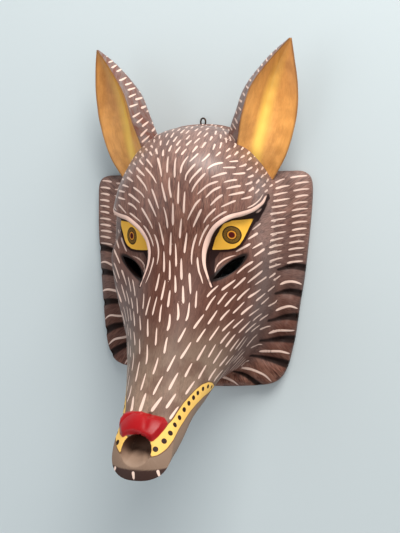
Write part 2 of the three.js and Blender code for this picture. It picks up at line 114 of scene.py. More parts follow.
face = {
    "brow": [(75, -21), (73.5, -30), (68, -37), (59, -41), (50.5, -43.5), (43, -48), (36, -54), (31, -61.5),
             (28, -69), (26.5, -77), (27, -86), (29.5, -95), (34.5, -108)],
    "browWidth": 4.1,
    "browTaper": [(.1, -.05, .28), (.3, 1.02, .62)],  # least share of the width, and where it grows from and to
    "browHeight": .25,
    "browRound": .6,
    "browTwin": [(73, -21), (72, -26), (68.5, -32), (64, -35.5)],
    "browSides": [(.50, .70, 5.4), (.78, .97, 5.2), (.60, .84, 10.4), (.34, .48, 5.6)],
    "eye": [(66, -44.5), (57, -46), (50.5, -47), (44.5, -50), (39.5, -55), (34.5, -63), (30.8, -73.6), (38, -73.6),
            (45.5, -73.2), (51, -72), (55.5, -68.7), (58.5, -64), (61.8, -56), (64.6, -49)],
    "eyeAxis": [(31, -73.5), (66, -44.5)],
    "iris": (49, -60),
    "irisRadius": 8.3,
    "leftIrisShare": .7,
    "darkInner": [(30.6, -73.5), (29.2, -76), (28.5, -86), (30.5, -95), (34.5, -105), (36, -100), (33.6, -92),
                  (33.4, -82), (38, -75)],
    "darkOuter": [(66, -44.5), (69.5, -38), (74, -31), (76.5, -22)],
    "underHook": [(75, -22), (73, -31), (68, -37), (59, -41), (57, -46), (66, -44.5), (70, -37), (74.5, -30)],
    "outerWidth": 3.2,
    "outerTaper": 2.5,
    "faceFrom": (40, 60),
    "eyeBulge": 2.6,
    "bulgeRadius": 18,
    "socketDepth": 9,
    "socketEdge": (.8, 7.2),
    "socketFade": (10, 36),
    "lid": [(34.5, -95), (36, -88), (41, -83), (47, -80), (55, -77.5)],
    "lidHeight": .3,
    "lidWidth": 1.6,
    "lidLine": .75,
    "slit": (47.5, -90),
    "slitLength": 34,
    "slitWidth": 9.5,
    "slitTilt": 40,
    "slitSteps": 15,
    "slitCut": (12, 130),
}

# The frame's origin lies under the middle of the mask; the drawing's lies at the ruff's top
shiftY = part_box("mask_body")[0].y * 1000 - head["lowest"]


def unit(v):
    return v / np.maximum(np.linalg.norm(v, axis=-1, keepdims=True), 1e-9)


def dots(a, b):
    return np.einsum("ij,ij->i", a, b)


def alongSkin(v, normals):
    # the part of each vector that lies in the surface
    return unit(v - normals * dots(v, normals)[:, None])


def smooth(a, b, v):
    t = np.clip((np.asarray(v, float) - a) / (b - a), 0, 1)
    return t * t * (3 - 2 * t)


def through(rows, u):
    # smooth curve through evenly spaced rows, at u from 0 to 1
    rows = np.asarray(rows, float)
    n = len(rows) - 1
    x = np.clip(np.asarray(u, float), 0, 1) * n
    i = np.minimum(x.astype(int), n - 1)
    f = (x - i)[:, None]
    p1, p2 = rows[i], rows[i + 1]
    p0 = np.where((i > 0)[:, None], rows[np.maximum(i - 1, 0)], 2 * p1 - p2)
    p3 = np.where((i < n - 1)[:, None], rows[np.minimum(i + 2, n)], 2 * p2 - p1)
    return .5 * (2 * p1 + (p2 - p0) * f + (2 * p0 - 5 * p1 + 4 * p2 - p3) * f**2
                 + (3 * p1 - p0 - 3 * p2 + p3) * f**3)


def headPoints(s, angle):
    # the head without its carving: s from the back to the nose, angle from the top of the loop
    v = through(head["loops"], s)
    topY, topZ, chinY, chinZ, half, split, bow, roundTop, roundChin = v.T
    c, sn = np.cos(angle), np.sin(angle)
    power = 2 / np.where(c > 0, roundTop, roundChin)
    x = np.sign(sn) * np.abs(sn) ** power
    along = np.abs(c) ** power
    midY, midZ = chinY + split * (topY - chinY), chinZ + split * (topZ - chinZ)
    endY, endZ = np.where(c > 0, topY, chinY), np.where(c > 0, topZ, chinZ)
    length = np.hypot(topY - chinY, topZ - chinZ)
    back = bow * x * x
    y = midY + (endY - midY) * along + back * (topZ - chinZ) / length
    z = midZ + (endZ - midZ) * along - back * (topY - chinY) / length
    return np.stack([half * x, y, z], 1)


def headNormals(s, angle):
    step = .002
    along = headPoints(np.minimum(1, s + step), angle) - headPoints(np.maximum(0, s - step), angle)
    around = headPoints(s, angle + step) - headPoints(s, angle - step)
    return unit(np.cross(along, around))


def runOf(steps):
    return np.concatenate([[0], np.cumsum(steps)])


def loopAngles(n):
    # evenly stepped round the loop, a little closer on the face than under the jaw
    angle = np.linspace(-np.pi, np.pi, 4001)
    step = np.linalg.norm(np.diff(headPoints(np.full(len(angle), head["sidesAt"]), angle), axis=0), axis=1)
    run = runOf(step * (1 + head["faceCloser"] * np.cos((angle[1:] + angle[:-1]) / 2)))
    return np.interp((np.arange(n) + .5) / n * run[-1], run, angle)


def finerAngles(angles):
    # twice as many angles, every second one as before
    between = (angles + np.roll(angles, -1)) / 2
    between[-1] = math.pi
    return np.column_stack([angles, between]).ravel()


def lineField(line, x, y):
    # distance to a line in the face plane, the side it lies on, and the share of the way along
    line = np.asarray(line, float)
    best = np.full(x.shape, 1e9)
    side = np.ones(x.shape)
    share = np.zeros(x.shape)
    for i in range(len(line) - 1):
        a, d = line[i], line[i + 1] - line[i]
        t = np.clip(((x - a[0]) * d[0] + (y - a[1]) * d[1]) / (d @ d), 0, 1)
        dist = np.hypot(x - a[0] - d[0] * t, y - a[1] - d[1] * t)
        near = dist < best
        best = np.where(near, dist, best)
        side = np.where(near, np.where(d[0] * (y - a[1]) - d[1] * (x - a[0]) < 0, -1, 1), side)
        share = np.where(near, (i + t) / (len(line) - 1), share)
    return best, side, share


def areaField(outline, x, y):
    # signed distance to a closed outline, negative inside
    pts = np.asarray(outline, float)
    closed = np.concatenate([pts, pts[:1]])
    dist = lineField(closed, x, y)[0]
    inside = np.zeros(x.shape, bool)
    for a, b in zip(closed[:-1], closed[1:]):
        crosses = (a[1] > y) != (b[1] > y)
        at = a[0] + (y - a[1]) / np.where(b[1] == a[1], 1e-9, b[1] - a[1]) * (b[0] - a[0])
        inside ^= crosses & (x < at)
    return np.where(inside, -dist, dist)


browCurve = through(face["brow"], np.linspace(0, 1, 60))
lidCurve = through(face["lid"], np.linspace(0, 1, 30))


def browField(x, y):
    # distance to the brow band's edge, negative on the band, which tapers to both ends
    d, side, share = lineField(browCurve, x, y)
    taper = 1
    for least, begin, end in face["browTaper"]:
        taper = taper * (least + (1 - least) * smooth(begin, end, share))
    return d - face["browWidth"] / 2 * taper, side * d


nose = {
    "outline": [(-25, -219), (-21, -213.5), (-14.5, -212), (-5, -211.7), (1.5, -213.6), (8, -214.3), (15.5, -216),
                (19.3, -220.3), (17.5, -225.5), (14.3, -230.2), (10.7, -233.6), (7.6, -232.8), (3.7, -231.5),
                (-1.5, -229.6), (-7.2, -228.8), (-12.4, -229.6), (-16.8, -232), (-21, -230), (-24, -225)],
    "behind": 168,
    "fade": .7,
    "height": 3.4,
    "padEdge": (.6, -3.6),
    "crease": [(2, -211), (2.5, -217), (4, -223)],
    "creaseDepth": 1.6,
    "creaseWidth": 2.2,
    "creaseFade": .7,
}
mouth = {
    "centre": (-2.7, -241),
    "size": (13.3, 12.7),
    "depth": 22,
    "behind": 150,
    "rimBand": .045,
    "lowSide": (.15, .8),
    "wall": (1.02, .80),
    "ramp": (0, 1.04),
}


def noseField(p):
    # signed distance to the edge of the nose pad, over the front of the snout
    d = areaField(nose["outline"], p[:, 0], p[:, 1])
    return np.maximum(d, (nose["behind"] - p[:, 2]) * nose["fade"])


def mouthField(p):
    # 1 on the rim of the open mouth, 0 at its middle
    x, y = ((p[:, :2] - mouth["centre"]) / mouth["size"]).T
    return np.hypot(x, y)


def onRim(p):
    # points beside the rim of the mouth are drawn onto it, for a clean edge
    r = mouthField(p)[:, None]
    centre = np.array(mouth["centre"])
    flat = np.where(np.abs(r - 1) < mouth["rimBand"], centre + (p[:, :2] - centre) / r, p[:, :2])
    return np.column_stack([flat, p[:, 2]])


def mouthHollow(p):
    # how far the open mouth goes back: steep above and at the sides, a long ramp from the lip
    r = mouthField(p)
    low = smooth(*mouth["lowSide"], -(p[:, 1] - mouth["centre"][1]) / mouth["size"][1] / np.maximum(r, .3))
    shape = (1 - low) * smooth(*mouth["wall"], r) + low * (1 - smooth(*mouth["ramp"], r))
    return mouth["depth"] * shape * (p[:, 2] > mouth["behind"])


def handMade(p, depth, seed, shortest, longest, waves=26):
    # soft unevenness of a hand-held gouge, as a sum of seeded waves
    rng = np.random.default_rng(seed)
    out = np.zeros(len(p))
    for _ in range(waves):
        d = rng.normal(size=3)
        d /= np.linalg.norm(d)
        out += np.sin(p @ d * 2 * np.pi / rng.uniform(shortest, longest) + rng.uniform(0, 6.28))
    return depth * (out / math.sqrt(waves))


def faceCarving(p):
    # how far the carving of the face stands out from the loft
    x, y, z = np.abs(p[:, 0]), p[:, 1], p[:, 2]
    onFace = smooth(*face["faceFrom"], z)
    band, under = browField(x, y)
    eyeD = lineField(face["eyeAxis"], x, y)[0]
    socket = smooth(*face["socketEdge"], under) * (1 - smooth(*face["socketFade"], eyeD)) * onFace
    fromIris = np.hypot(x - face["iris"][0], y - face["iris"][1])
    ball = np.maximum(0, 1 - (fromIris / face["bulgeRadius"])**2) * onFace
    ridge = np.clip(-band / (face["browWidth"] / 2), 0, 1)**face["browRound"] * face["browHeight"] * onFace
    lidD, _, lidAt = lineField(lidCurve, x, y)
    lid = np.exp(-(lidD / face["lidWidth"])**2) * face["lidHeight"] * towardEnds(lidAt, .1) * onFace
    creaseD, _, creaseAt = lineField(nose["crease"], p[:, 0], y)
    crease = nose["creaseDepth"] * np.exp(-(creaseD / nose["creaseWidth"])**2)
    edge = noseField(p)
    pad = nose["height"] * smooth(*nose["padEdge"], edge) - crease * (1 - nose["creaseFade"] * creaseAt)
    pad = np.where((z > mouth["behind"]) & (edge < 1), pad, 0)
    return face["eyeBulge"] * ball - face["socketDepth"] * socket + ridge + lid + pad + handMade(p, *head["gouge"])


def towardEnds(share, left):
    # 1 in the middle of a line, less toward its ends
    return np.sin(np.pi * np.clip(left + (1 - 2 * left) * share, 0, 1))


def ruffReach(outline):
    pts = through(outline, np.linspace(0, 1, 600))
    rx, ry = pts[:, 0], pts[:, 1] - ruff["hub"][1]
    return np.arctan2(rx, ry), np.hypot(rx, ry)


def cheekLine():
    # where the head meets the ruff, about the hub
    angles = np.radians(np.arange(180) + .5)
    root = headPoints(np.full(len(angles), head["valleyAt"]), angles)
    x, y = root[:, 0], root[:, 1] - ruff["hub"][1]
    way = np.arctan2(x, y)
    order = np.argsort(way)
    return way[order], np.hypot(x, y)[order]


rightReach, leftReach = ruffReach(ruff["rightOutline"]), ruffReach(ruff["leftOutline"])
cheekAngles, cheekRadii = cheekLine()


def reachAt(x, way):
    # how far the ruff reaches from its hub, on the side that x lies on
    return np.where(np.asarray(x) < 0, np.interp(way, *leftReach), np.interp(way, *rightReach))


def carved(s, angle):
    # points of the carved head
    p = headPoints(s, angle)
    return p + headNormals(s, angle) * faceCarving(p)[:, None]


def outsideRings():
    # from the nose to the flat back; the rings of the ruff have twice the corners
    angles = loopAngles(head["sides"])
    one = np.ones(head["sides"])
    front = headPoints(one, angles)
    middle = front.mean(0)
    last = head["loops"][-1]
    out = unit(np.array([0, last[3] - last[1], last[0] - last[2]], float))

    def cap(p):
        p = onRim(p + out * faceCarving(p)[:, None])
        return p - [0, 0, 1] * mouthHollow(p)[:, None]

    cuts = np.sin((np.arange(head["capRings"]) + .4) / head["capRings"] * math.pi / 2)**.9
    rings = [cap(middle + (front - middle) * r + out * head["dome"] * (1 - r**head["domeRound"])) for r in cuts]
    kind = ["cap"] * len(rings)
    plan = np.array(head["ringPlan"])
    stations = np.interp(np.arange(plan[-1, 1], -1, -1), plan[:, 1], plan[:, 0])
    rings += [carved(one * s, angles) for s in stations]
    kind += ["head"] * len(stations)
    fine = finerAngles(angles)
    one = np.ones(len(fine))
    start = carved(one * head["start"], fine)
    flat = headPoints(one * head["valleyAt"], fine)[:, :2] - ruff["hub"]
    distance = np.linalg.norm(flat, axis=1)
    way = flat / distance[:, None]
    reach = reachAt(way[:, 0], np.abs(np.arctan2(way[:, 0], way[:, 1])))
    reach = np.maximum(distance + ruff["flange"] + ruff["chamfer"], reach)
    width = reach - distance
    bend = np.minimum(ruff["fillet"], ruff["filletShare"] * width)
    run = width - bend - np.minimum(ruff["chamfer"], width - bend)

    def outAt(r, z):
        return np.column_stack([ruff["hub"][0] + way[:, 0] * r, ruff["hub"][1] + way[:, 1] * r, z * one])

    valley, bendEnd = outAt(distance, ruff["root"]), outAt(distance + bend, ruff["root"])
    for t in np.arange(1, ruff["filletRings"] + 1) / ruff["filletRings"]:
        rings.append((1 - t)**2 * start + 2 * t * (1 - t) * valley + t * t * bendEnd)
        kind.append("ruff")
    for t in np.arange(1, ruff["plateRings"] + 1) / ruff["plateRings"]:
        rings.append(outAt(distance + bend + run * t, ruff["root"] + (ruff["edge"] - ruff["root"]) * t * t))
        kind.append("ruff")
    for inset, share, lift in ruff["rim"]:
        rings.append(outAt(reach - inset, ruff["edge"] * share + lift))
        kind.append("rim")
    return rings, kind, cap((middle + out * head["dome"])[None])[0]


def hollowRings():
    rings = []
    n = head["sides"] // 4
    angles = loopAngles(n)
    for k in range(head["hollowRings"]):
        s = np.full(n, head["hollowShare"] * k / (head["hollowRings"] - 1))
        wall = head["rimWall"] + (head["faceWall"] - head["rimWall"]) * smooth(*head["wallGrows"], s)
        p, nrm = headPoints(s, angles), headNormals(s, angles)
        if k == 0:
            nrm = unit(nrm * [1, 1, 0])
        p -= nrm * wall[:, None]
        if k > 1:
            p += nrm * handMade(p, *head["hollowGouge"])[:, None]
        rings.append(p)
    return np.array(rings)


def addObject(name, data):
    made = bpy.data.objects.new(name, data)
    bpy.context.scene.collection.objects.link(made)
    return made


def meshFrom(name, points, faces):
    mesh = bpy.data.meshes.new(name)
    world = (np.asarray(points) + [0, shiftY, 0]) / 1000
    mesh.from_pydata(world.tolist(), [], faces)
    mesh.update()
    return addObject(name, mesh)


def fanFaces(tip, first, n):
    return [(tip, first + j, first + (j + 1) % n) for j in range(n)]


def stripFaces(a, b, n):
    j = np.arange(n)
    k = (j + 1) % n
    return np.column_stack([a + j, b + j, b + k, a + k]).tolist()


def wideningFaces(a, b, n):
    # from a ring of n corners to one with twice as many
    j = np.arange(n)
    k = (j + 1) % n
    middle = b + 2 * j + 1
    corners = ((a + j, b + 2 * j, middle), (a + j, middle, a + k), (a + k, middle, b + 2 * k))
    return np.concatenate([np.column_stack(three) for three in corners]).tolist()


def meshArray(items, name, kind=float):
    out = np.empty(len(items) * 3, kind)
    items.foreach_get(name, out)
    return out.reshape(-1, 3)


def turnOutward(piece):
    mesh = piece.data
    mesh.calc_loop_triangles()
    a, b, c = meshArray(mesh.vertices, "co")[meshArray(mesh.loop_triangles, "vertices", int)].transpose(1, 0, 2)
    if dots(a, np.cross(b, c)).sum() < 0:
        mesh.flip_normals()


def vertexArrays(piece):
    # places in drawn millimetres, and normals
    mesh = piece.data
    return meshArray(mesh.vertices, "co") * 1000 - [0, shiftY, 0], meshArray(mesh.vertices, "normal")


def store(piece, fields):
    for name, values in fields.items():
        layer = piece.data.attributes.new(name, "FLOAT", "POINT")
        layer.data.foreach_set("value", np.asarray(values, np.float32))


def grooveLines(x, t):
    # angles of the six grooves at share t of the way out, for the side that x lies on
    arch = ruff["grooveArch"] * np.sin(np.pi * np.clip(t, 0, 1))
    return np.array([np.where(x > 0, r0 + (r1 - r0) * t, l0 + (l1 - l0) * t) + arch
                     for (r0, r1), (l0, l1) in zip(ruff["rightGrooves"], ruff["leftGrooves"])])


def ruffPlace(p):
    # angle and radius about the hub, and the share of the way from the cheek to the edge
    x, y = np.abs(p[:, 0] - ruff["hub"][0]), p[:, 1] - ruff["hub"][1]
    r, way = np.hypot(x, y), np.arctan2(x, y)
    inner = np.interp(way, cheekAngles, cheekRadii)
    edge = reachAt(p[:, 0], way)
    return r, np.degrees(np.arctan2(y, x)), (r - inner) / np.maximum(edge - inner, 4)


def carveRuff(p):
    # signed distance to the nearest groove of the ruff, and the share of the way to the edge
    r, angle, t = ruffPlace(p)
    field = np.abs(np.radians(angle - grooveLines(p[:, 0], t))).min(0) * r
    half = ruff["grooveWidth"] / 2 * (ruff["grooveTaper"] + (1 - ruff["grooveTaper"]) * np.clip(t, 0, 1))
    return field - half + 9 * np.maximum(0, -.04 - t), t


def makeHead():
    rings, kind, tip = outsideRings()
    sizes = [len(ring) for ring in rings]
    starts = 1 + np.cumsum([0] + sizes)
    hollow = hollowRings()
    inner = hollow.shape[1]
    outside = np.concatenate(rings)
    kindAt = np.repeat(kind, sizes)
    onRuff, rimTop = kindAt == "ruff", (kindAt == "rim") & (outside[:, 2] > 4)
    gap, t = carveRuff(outside)
    dip = ruff["grooveDepth"] * (1 - smooth(*ruff["grooveEdge"], gap)) * smooth(*ruff["grooveStart"], t)
    fromTop = ruffPlace(outside)[1] - np.where(outside[:, 0] > 0, *ruff["topLock"])
    swell = ruff["swell"] * smooth(*ruff["swellEdge"], gap) * smooth(*ruff["swellFrom"], fromTop)
    outside[onRuff, 2] += (swell * smooth(*ruff["swellStart"], t) - dip)[onRuff]
    outside[onRuff, 2] += handMade(outside[onRuff], *ruff["gouge"])
    outside[rimTop, 2] -= (ruff["edgeDip"] * dip * smooth(4, 10, outside[:, 2]))[rimTop]
    points = np.concatenate([tip[None], outside, hollow.reshape(-1, 3), hollow[-1].mean(0)[None]])
    faces = fanFaces(0, 1, sizes[0])
    for k in range(len(rings) - 1):
        join = stripFaces if sizes[k] == sizes[k + 1] else wideningFaces
        faces += join(starts[k], starts[k + 1], sizes[k])
    # flat back: several outer corners meet each corner of the hollow's rim
    rim, n, first = starts[-2], sizes[-1], starts[-1]
    share = n // inner
    for j in range(n):
        a = first + (j // share) % inner
        faces.append((rim + j, a, rim + (j + 1) % n))
        if j % share == share - 1:
            faces.append((rim + (j + 1) % n, a, first + (j // share + 1) % inner))
    for k in range(len(hollow) - 1):
        faces += stripFaces(first + k * inner, first + (k + 1) * inner, inner)
    faces += [corners[::-1] for corners in fanFaces(len(points) - 1, first + (len(hollow) - 1) * inner, inner)]
    piece = meshFrom("wolfHead", points, faces)
    turnOutward(piece)
    hidden = np.zeros(len(points) - first)
    skin = np.concatenate([np.ones(first - n), np.zeros(n), hidden])
    angles = loopAngles(head["sides"])
    around = [angles if size == len(angles) else finerAngles(angles) for size in sizes]
    return piece, points, skin, np.concatenate([[0], *around, hidden]), rings


wolf, drawnPoints, drawnSkin, drawnAngle, outerRings = makeHead()
print("head mesh:", len(wolf.data.vertices), "points,", len(wolf.data.polygons), "faces")


def cutSlits(piece):
    # the two sight slits, lens shaped, straight through the wood
    half, wide = face["slitLength"] / 2, face["slitWidth"]
    t = np.linspace(0, 1, face["slitSteps"])
    upper = np.column_stack([-half + 2 * half * t, 2 * t * (1 - t) * wide])
    lens = np.concatenate([upper[:-1], -upper[::-1][:-1] * [-1, 1]])
    points, faces = [], []
    for sign in (1, -1):
        turn = math.radians(face["slitTilt"])
        c, s = math.cos(turn), math.sin(turn)
        xy = np.column_stack([lens[:, 0] * c - lens[:, 1] * s, lens[:, 0] * s + lens[:, 1] * c]) + face["slit"]
        xy[:, 0] *= sign
        base, m = len(points), len(xy)
        for z in face["slitCut"]:
            points += [(x, y, z) for x, y in xy]
        lower = [base + i for i in range(m)]
        top = [base + m + i for i in range(m)]
        walls = [(base + i, base + (i + 1) % m, base + m + (i + 1) % m, base + m + i) for i in range(m)]
        if sign < 0:
            faces += [lower[::-1], top] + walls
        else:
            faces += [lower, top[::-1]] + [w[::-1] for w in walls]
    cutter = meshFrom("slitCutter", points, faces)
    cut = piece.modifiers.new("slits", "BOOLEAN")
    cut.operation = "DIFFERENCE"
    cut.solver = "MANIFOLD"
    cut.object = cutter
    bpy.context.view_layer.update()
    made = bpy.data.meshes.new_from_object(piece.evaluated_get(bpy.context.evaluated_depsgraph_get()))
    piece.modifiers.clear()
    old = piece.data
    piece.data = made
    bpy.data.meshes.remove(old)
    made.name = piece.name
    cutterMesh = cutter.data
    bpy.data.objects.remove(cutter)
    bpy.data.meshes.remove(cutterMesh)


cutSlits(wolf)
print("sight slits cut:", len(wolf.data.vertices), "points")


# Painted fur: pale strokes in loose staggered rows along the lie of the coat.
# lie holds x, y and the way the hair runs there, in degrees, as seen by the camera
fur = {
    "lie": [
        (0, -7, 90), (8, -22, 84), (1, -40, 92), (-2, -68, 90), (-11, -36, 110), (-7, -25, 107), (-24, -21, 114),
        (-35, -6, 130), (-40, -20, 139), (-29, -40, 121), (-51, -24, 162), (-18, -65, 103), (-11, -79, 90),
        (-3, -95, 90), (6, -103, 92), (20, -88, 92), (8, -82, 90), (16, -68, 82), (9, -55, 82), (-15, -99, 82),
        (-8, -110, 78), (-19, -121, 78), (-6, -123, 75), (1, -134, 86), (7, -124, 97), (22, -124, 88),
        (3, -160, 80), (-13, -158, 92), (-36, -144, 102), (-36, -129, 96), (-35, -112, 102), (-48, -122, 107),
        (-60, -117, 110), (-49, -104, 105), (-59, -87, 108), (-63, -99, 108), (-68, -64, 111), (-1, -182, 69),
        (-16, -181, 81), (-5, -200, 70), (-19, -207, 68), (-101, -6, 160), (-103, -26, 158), (-104, -46, 155),
        (-102, -62, 153), (-62, -40, 125), (-73, -85, 118), (-65, -136, 105), (-39, -162, 98), (-21, -192, 82),
        (15, 29, 52), (33, 26, 75), (43, 34, 105), (44, 18, 45), (60, 16, 43), (74, 3, 60), (88, -2, 68),
        (22, 0, 45), (47, 2, 3), (57, -10, 8), (71, -14, 48), (41, -11, 20), (57, -23, 9), (27, -25, 46),
        (35, -36, 44), (49, -35, 22), (21, -43, 65), (26, -58, 68), (78, -25, 38), (83, -14, 30), (80, -40, 38),
        (70, -51, 38), (88, -53, 24), (77, -64, 34), (64, -70, 31), (74, -79, 32), (90, -72, 22), (69, -90, 36),
        (56, -96, 44), (86, -89, 22), (74, -105, 35), (44, -108, 34), (56, -123, 40), (72, -118, 34),
        (44, -121, 50), (56, -142, 41), (52, -160, 52), (46, -183, 47), (32, -137, 54), (38, -164, 56),
        (34, -189, 58), (13, -145, 60), (25, -148, 59), (14, -165, 59), (12, -186, 60), (29, -178, 58),
        (20, -217, 56), (4, -212, 55), (100, -7, 20), (95, -18, 13), (97, -30, 8), (102, -43, 7), (101, -62, 8),
        (98, -81, 8), (92, -101, 12), (86, -129, -2), (74, -151, 30), (85, -149, -10), (72, -167, 15),
        (84, -171, -18), (64, -185, 5), (78, -197, -48), (59, -196, -15),
    ],
    "nearNose": [
        ((-16, -211, 177), (-17, -201, 165), 1.25), ((-7, -210, 179), (-5, -197, 168), 1.35),
        ((3, -211, 180), (10, -200, 168), 1.35), ((15, -209, 173), (20, -198, 161), 1.1),
        ((20, -217, 178), (24, -208, 165), 1.0), ((27, -199, 155), (31, -189, 141), .95),
    ],
    "chin": [
        ((-3, -256.5, 210), (-2, -263.5, 206), 1.1), ((-21, -254.5, 202), (-20.5, -260, 198), 1.1),
        ((18, -255, 204), (17.5, -260.5, 200), 1.1), ((24, -250, 193), (24, -256, 186), .9),
    ],
    "keepOff": {"eye": 2.6, "brow": 1.4, "slit": 2.4, "lid": 1.8, "darkInner": 1, "darkOuter": 1, "nose": 1.4,
                "teeth": 1.4},
    "length": 22,
    "shorter": {"low": 3, "small": 11.5, "temple": 5.5},
    "spacing": 6.2,
    "wider": {"snout": 3.2, "low": .9, "small": -.5, "temple": -.1},
    "onRuff": (17.5, 6.5),
    "topmost": .15,
    "bareZ": 10.7,
    "thinning": .75,
    "looseOrder": 3,
    "anyLength": (.84, 1.1),
    "anyWidth": (.85, 1.15),
    "turned": (-105, 14),  # strokes above and beside these have their thick end the other way
    "reach": 30,
    "halfWidth": .88,
    "endGap": 2.4,
    "sideGap": 4.4,
    "sampleStep": 1.0,
    "seenAlong": (.9614, 0, -.2752),
    "seenFrom": (.2752, 0, .9614),
}


class Coat:
    # a surface that strokes are laid on: its points, normals, the way the hair lies and the free room
    def __init__(self, points, normals, lie, room):
        self.points, self.normals, self.lie, self.room = points, normals, lie, room
        self.tree = treeOf(points)

    def seenFlat(self, lowerThan=999):
        # the points that face the viewer, by their place in the face plane
        chosen = np.flatnonzero((self.normals[:, 2] > fur["topmost"]) & (self.points[:, 2] < lowerThan))
        return treeOf(self.points[chosen] * [1, 1, 0]), chosen

    def over(self, x, y, flat):
        # the place on the surface over a place in the face plane
        tree, chosen = flat
        return np.array([x, y, self.points[chosen[tree.find((x, y, 0))[1]], 2]])

    def settle(self, p):
        i = self.tree.find(p)[1]
        n = self.normals[i]
        return p - n * ((p - self.points[i]) @ n), i

    def stroke(self, seed, length, turn, bend):
        # points of one stroke, following the lie from the middle out both ways, and the least room on it
        halves = []
        middle, first = self.settle(seed)
        least = self.room[first]
        steps = max(2, int(round(length / 2 / fur["sampleStep"])))
        step = length / 2 / steps
        for way in (-1, 1):
            p, i = middle, first
            run = []
            for k in range(steps):
                a = turn + way * bend * (k + .5) / steps
                direction = self.lie[i] * math.cos(a) + np.cross(self.normals[i], self.lie[i]) * math.sin(a)
                p, i = self.settle(p + direction * step * way)
                least = min(least, self.room[i])
                run.append(p)
            halves.append(run)
        return np.array(halves[0][::-1] + [middle] + halves[1]), least

    def fill(self, line):
        # no other stroke comes nearer to this one than the side gap
        for p in line:
            for _, i, _ in self.tree.find_range(p, fur["sideGap"]):
                self.room[i] = -1


def treeOf(points):
    tree = kdtree.KDTree(len(points))
    for i, p in enumerate(points):
        tree.insert(p, i)
    tree.balance()
    return tree


def layStrokes(piece, strokes):
    # stores, for each point of the mesh, where it lies beside its nearest stroke
    lines = [line for line, _ in strokes]
    sample = np.concatenate(lines)
    tangent = np.concatenate([unit(np.gradient(line, axis=0)) for line in lines])
    share = np.concatenate([np.linspace(-1, 1, len(line)) for line in lines])
    number = np.repeat(np.arange(len(lines)), [len(line) for line in lines])
    halfLength = np.array([np.linalg.norm(np.diff(line, axis=0), axis=1).sum() / 2 for line in lines])
    width = np.array([wide for _, wide in strokes])
    tone = np.random.default_rng(3).uniform(0, 1, len(strokes))
    tree = treeOf(sample)
    co, no = vertexArrays(piece)
    found = [tree.find(p) for p in co]
    at = np.array([f[1] for f in found])
    off, which = co - sample[at], number[at]
    along = share[at] + dots(off, tangent[at]) / halfLength[which]
    store(piece, {
        "strokeAlong": along,
        "strokeEnds": np.abs(along),
        "strokeAcross": dots(off, unit(np.cross(no, tangent[at]))) / width[which],
        "strokeGap": [f[2] for f in found],
        "strokeTone": tone[which],
    })
    print("strokes on", piece.name + ":", len(strokes))


def facePaintFields(p):
    # signed distances, in millimetres, to everything painted on the face; far off behind it
    x, y, far = np.abs(p[:, 0]), p[:, 1], 60
    band, under = browField(x, y)
    lidD, _, lidAt = lineField(lidCurve, x, y)
    outerD, _, outerAt = lineField(face["darkOuter"], x, y)
    outer = outerD - (face["outerWidth"] - face["outerTaper"] * outerAt)
    turn = math.radians(face["slitTilt"])
    dx, dy = x - face["slit"][0], y - face["slit"][1]
    u, v = dx * math.cos(turn) + dy * math.sin(turn), dy * math.cos(turn) - dx * math.sin(turn)
    lens = np.hypot(u / (face["slitLength"] / 2), v / (face["slitWidth"] / 2))
    fields = {
        "eye": areaField(face["eye"], x, y),
        "brow": band,
        "darkInner": areaField(face["darkInner"], x, y),
        "darkOuter": np.minimum(outer, areaField(face["underHook"], x, y)),
        "lid": lidD - face["lidLine"] * towardEnds(lidAt, .08),
        "slit": (lens - 1) * face["slitWidth"] / 2,
    }
    onFace = p[:, 2] > face["faceFrom"][0]
    fields = {name: np.where(onFace, field, far) for name, field in fields.items()}
    return fields | {"underBrow": np.where(onFace, under, -far)}


# The muzzle's paint: heights (y) of its lines against z along the side of the snout
muzzle = {
    "teethTop": [(106, -197.5), (112, -195), (117, -192.5), (124, -191.3), (133, -192.5), (142, -196), (151.5, -201),
                 (159, -205.4), (165, -210.2), (172.5, -215.6), (182, -221.3), (188.5, -226), (193.5, -230.5),
                 (198, -235.5), (203, -240)],
    "teethLow": [(106, -197.5), (112, -199), (117, -201), (130, -204.2), (142, -208.7), (154, -214.7), (165, -222),
                 (177, -228.5), (186.5, -234), (193, -239.5), (199, -243.8), (203, -245.5)],
    "jaw": [(60, -200), (110, -209), (145, -226), (164, -237), (185, -248.5), (198, -254), (203, -255),
            (206, -255.4), (215, -255.6)],
    "rear": 109,
    "narrower": (.35, 196, 180),
    "toRim": (1.02, 12, -9),
    "dots": [(14.1, -239, 198.3, 2.3), (19.6, -233.2, 191.8, 2.25), (22.8, -227.6, 184.8, 2.1),
             (24.2, -222, 176.6, 2), (25.6, -217.2, 168.2, 2), (27.4, -211.4, 160.6, 2), (29.5, -206.8, 153.7, 2),
             (31.5, -202.8, 146.6, 2), (33.5, -199.5, 140, 1.9), (35.9, -196.8, 131.9, 1.9), (38.2, -195.5, 124, 1.7),
             (39.5, -196.7, 116.5, 1.5)],
    "leftShift": [(-22, -236.5, 191.5, 2.2), (-26, -230, 183, 2.1)],
}


def lineAt(name, z):
    rows = np.array(muzzle[name])
    return np.interp(z, rows[:, 0], rows[:, 1])


def teethField(p):
    # signed distance to the edge of the band of teeth
    y, z = p[:, 1], p[:, 2]
    less, begin, end = muzzle["narrower"]
    rim, slope, elsewhere = muzzle["toRim"]
    d = .85 * np.maximum(y - lineAt("teethTop", z), lineAt("teethLow", z) - y)
    d = np.maximum(d + less * smooth(begin, end, z), (muzzle["rear"] - z) * nose["fade"])
    return np.maximum(d, np.where(z > mouth["behind"], (rim - mouthField(p)) * slope, elsewhere))


def dotField(p):
    d = np.full(len(p), 30.)
    left = muzzle["leftShift"] + [(-x, y, z, r) for x, y, z, r in muzzle["dots"][3:]]
    for x, y, z, r in muzzle["dots"] + left:
        d = np.minimum(d, np.linalg.norm(p - [x, y, z], axis=1) - r)
    return d


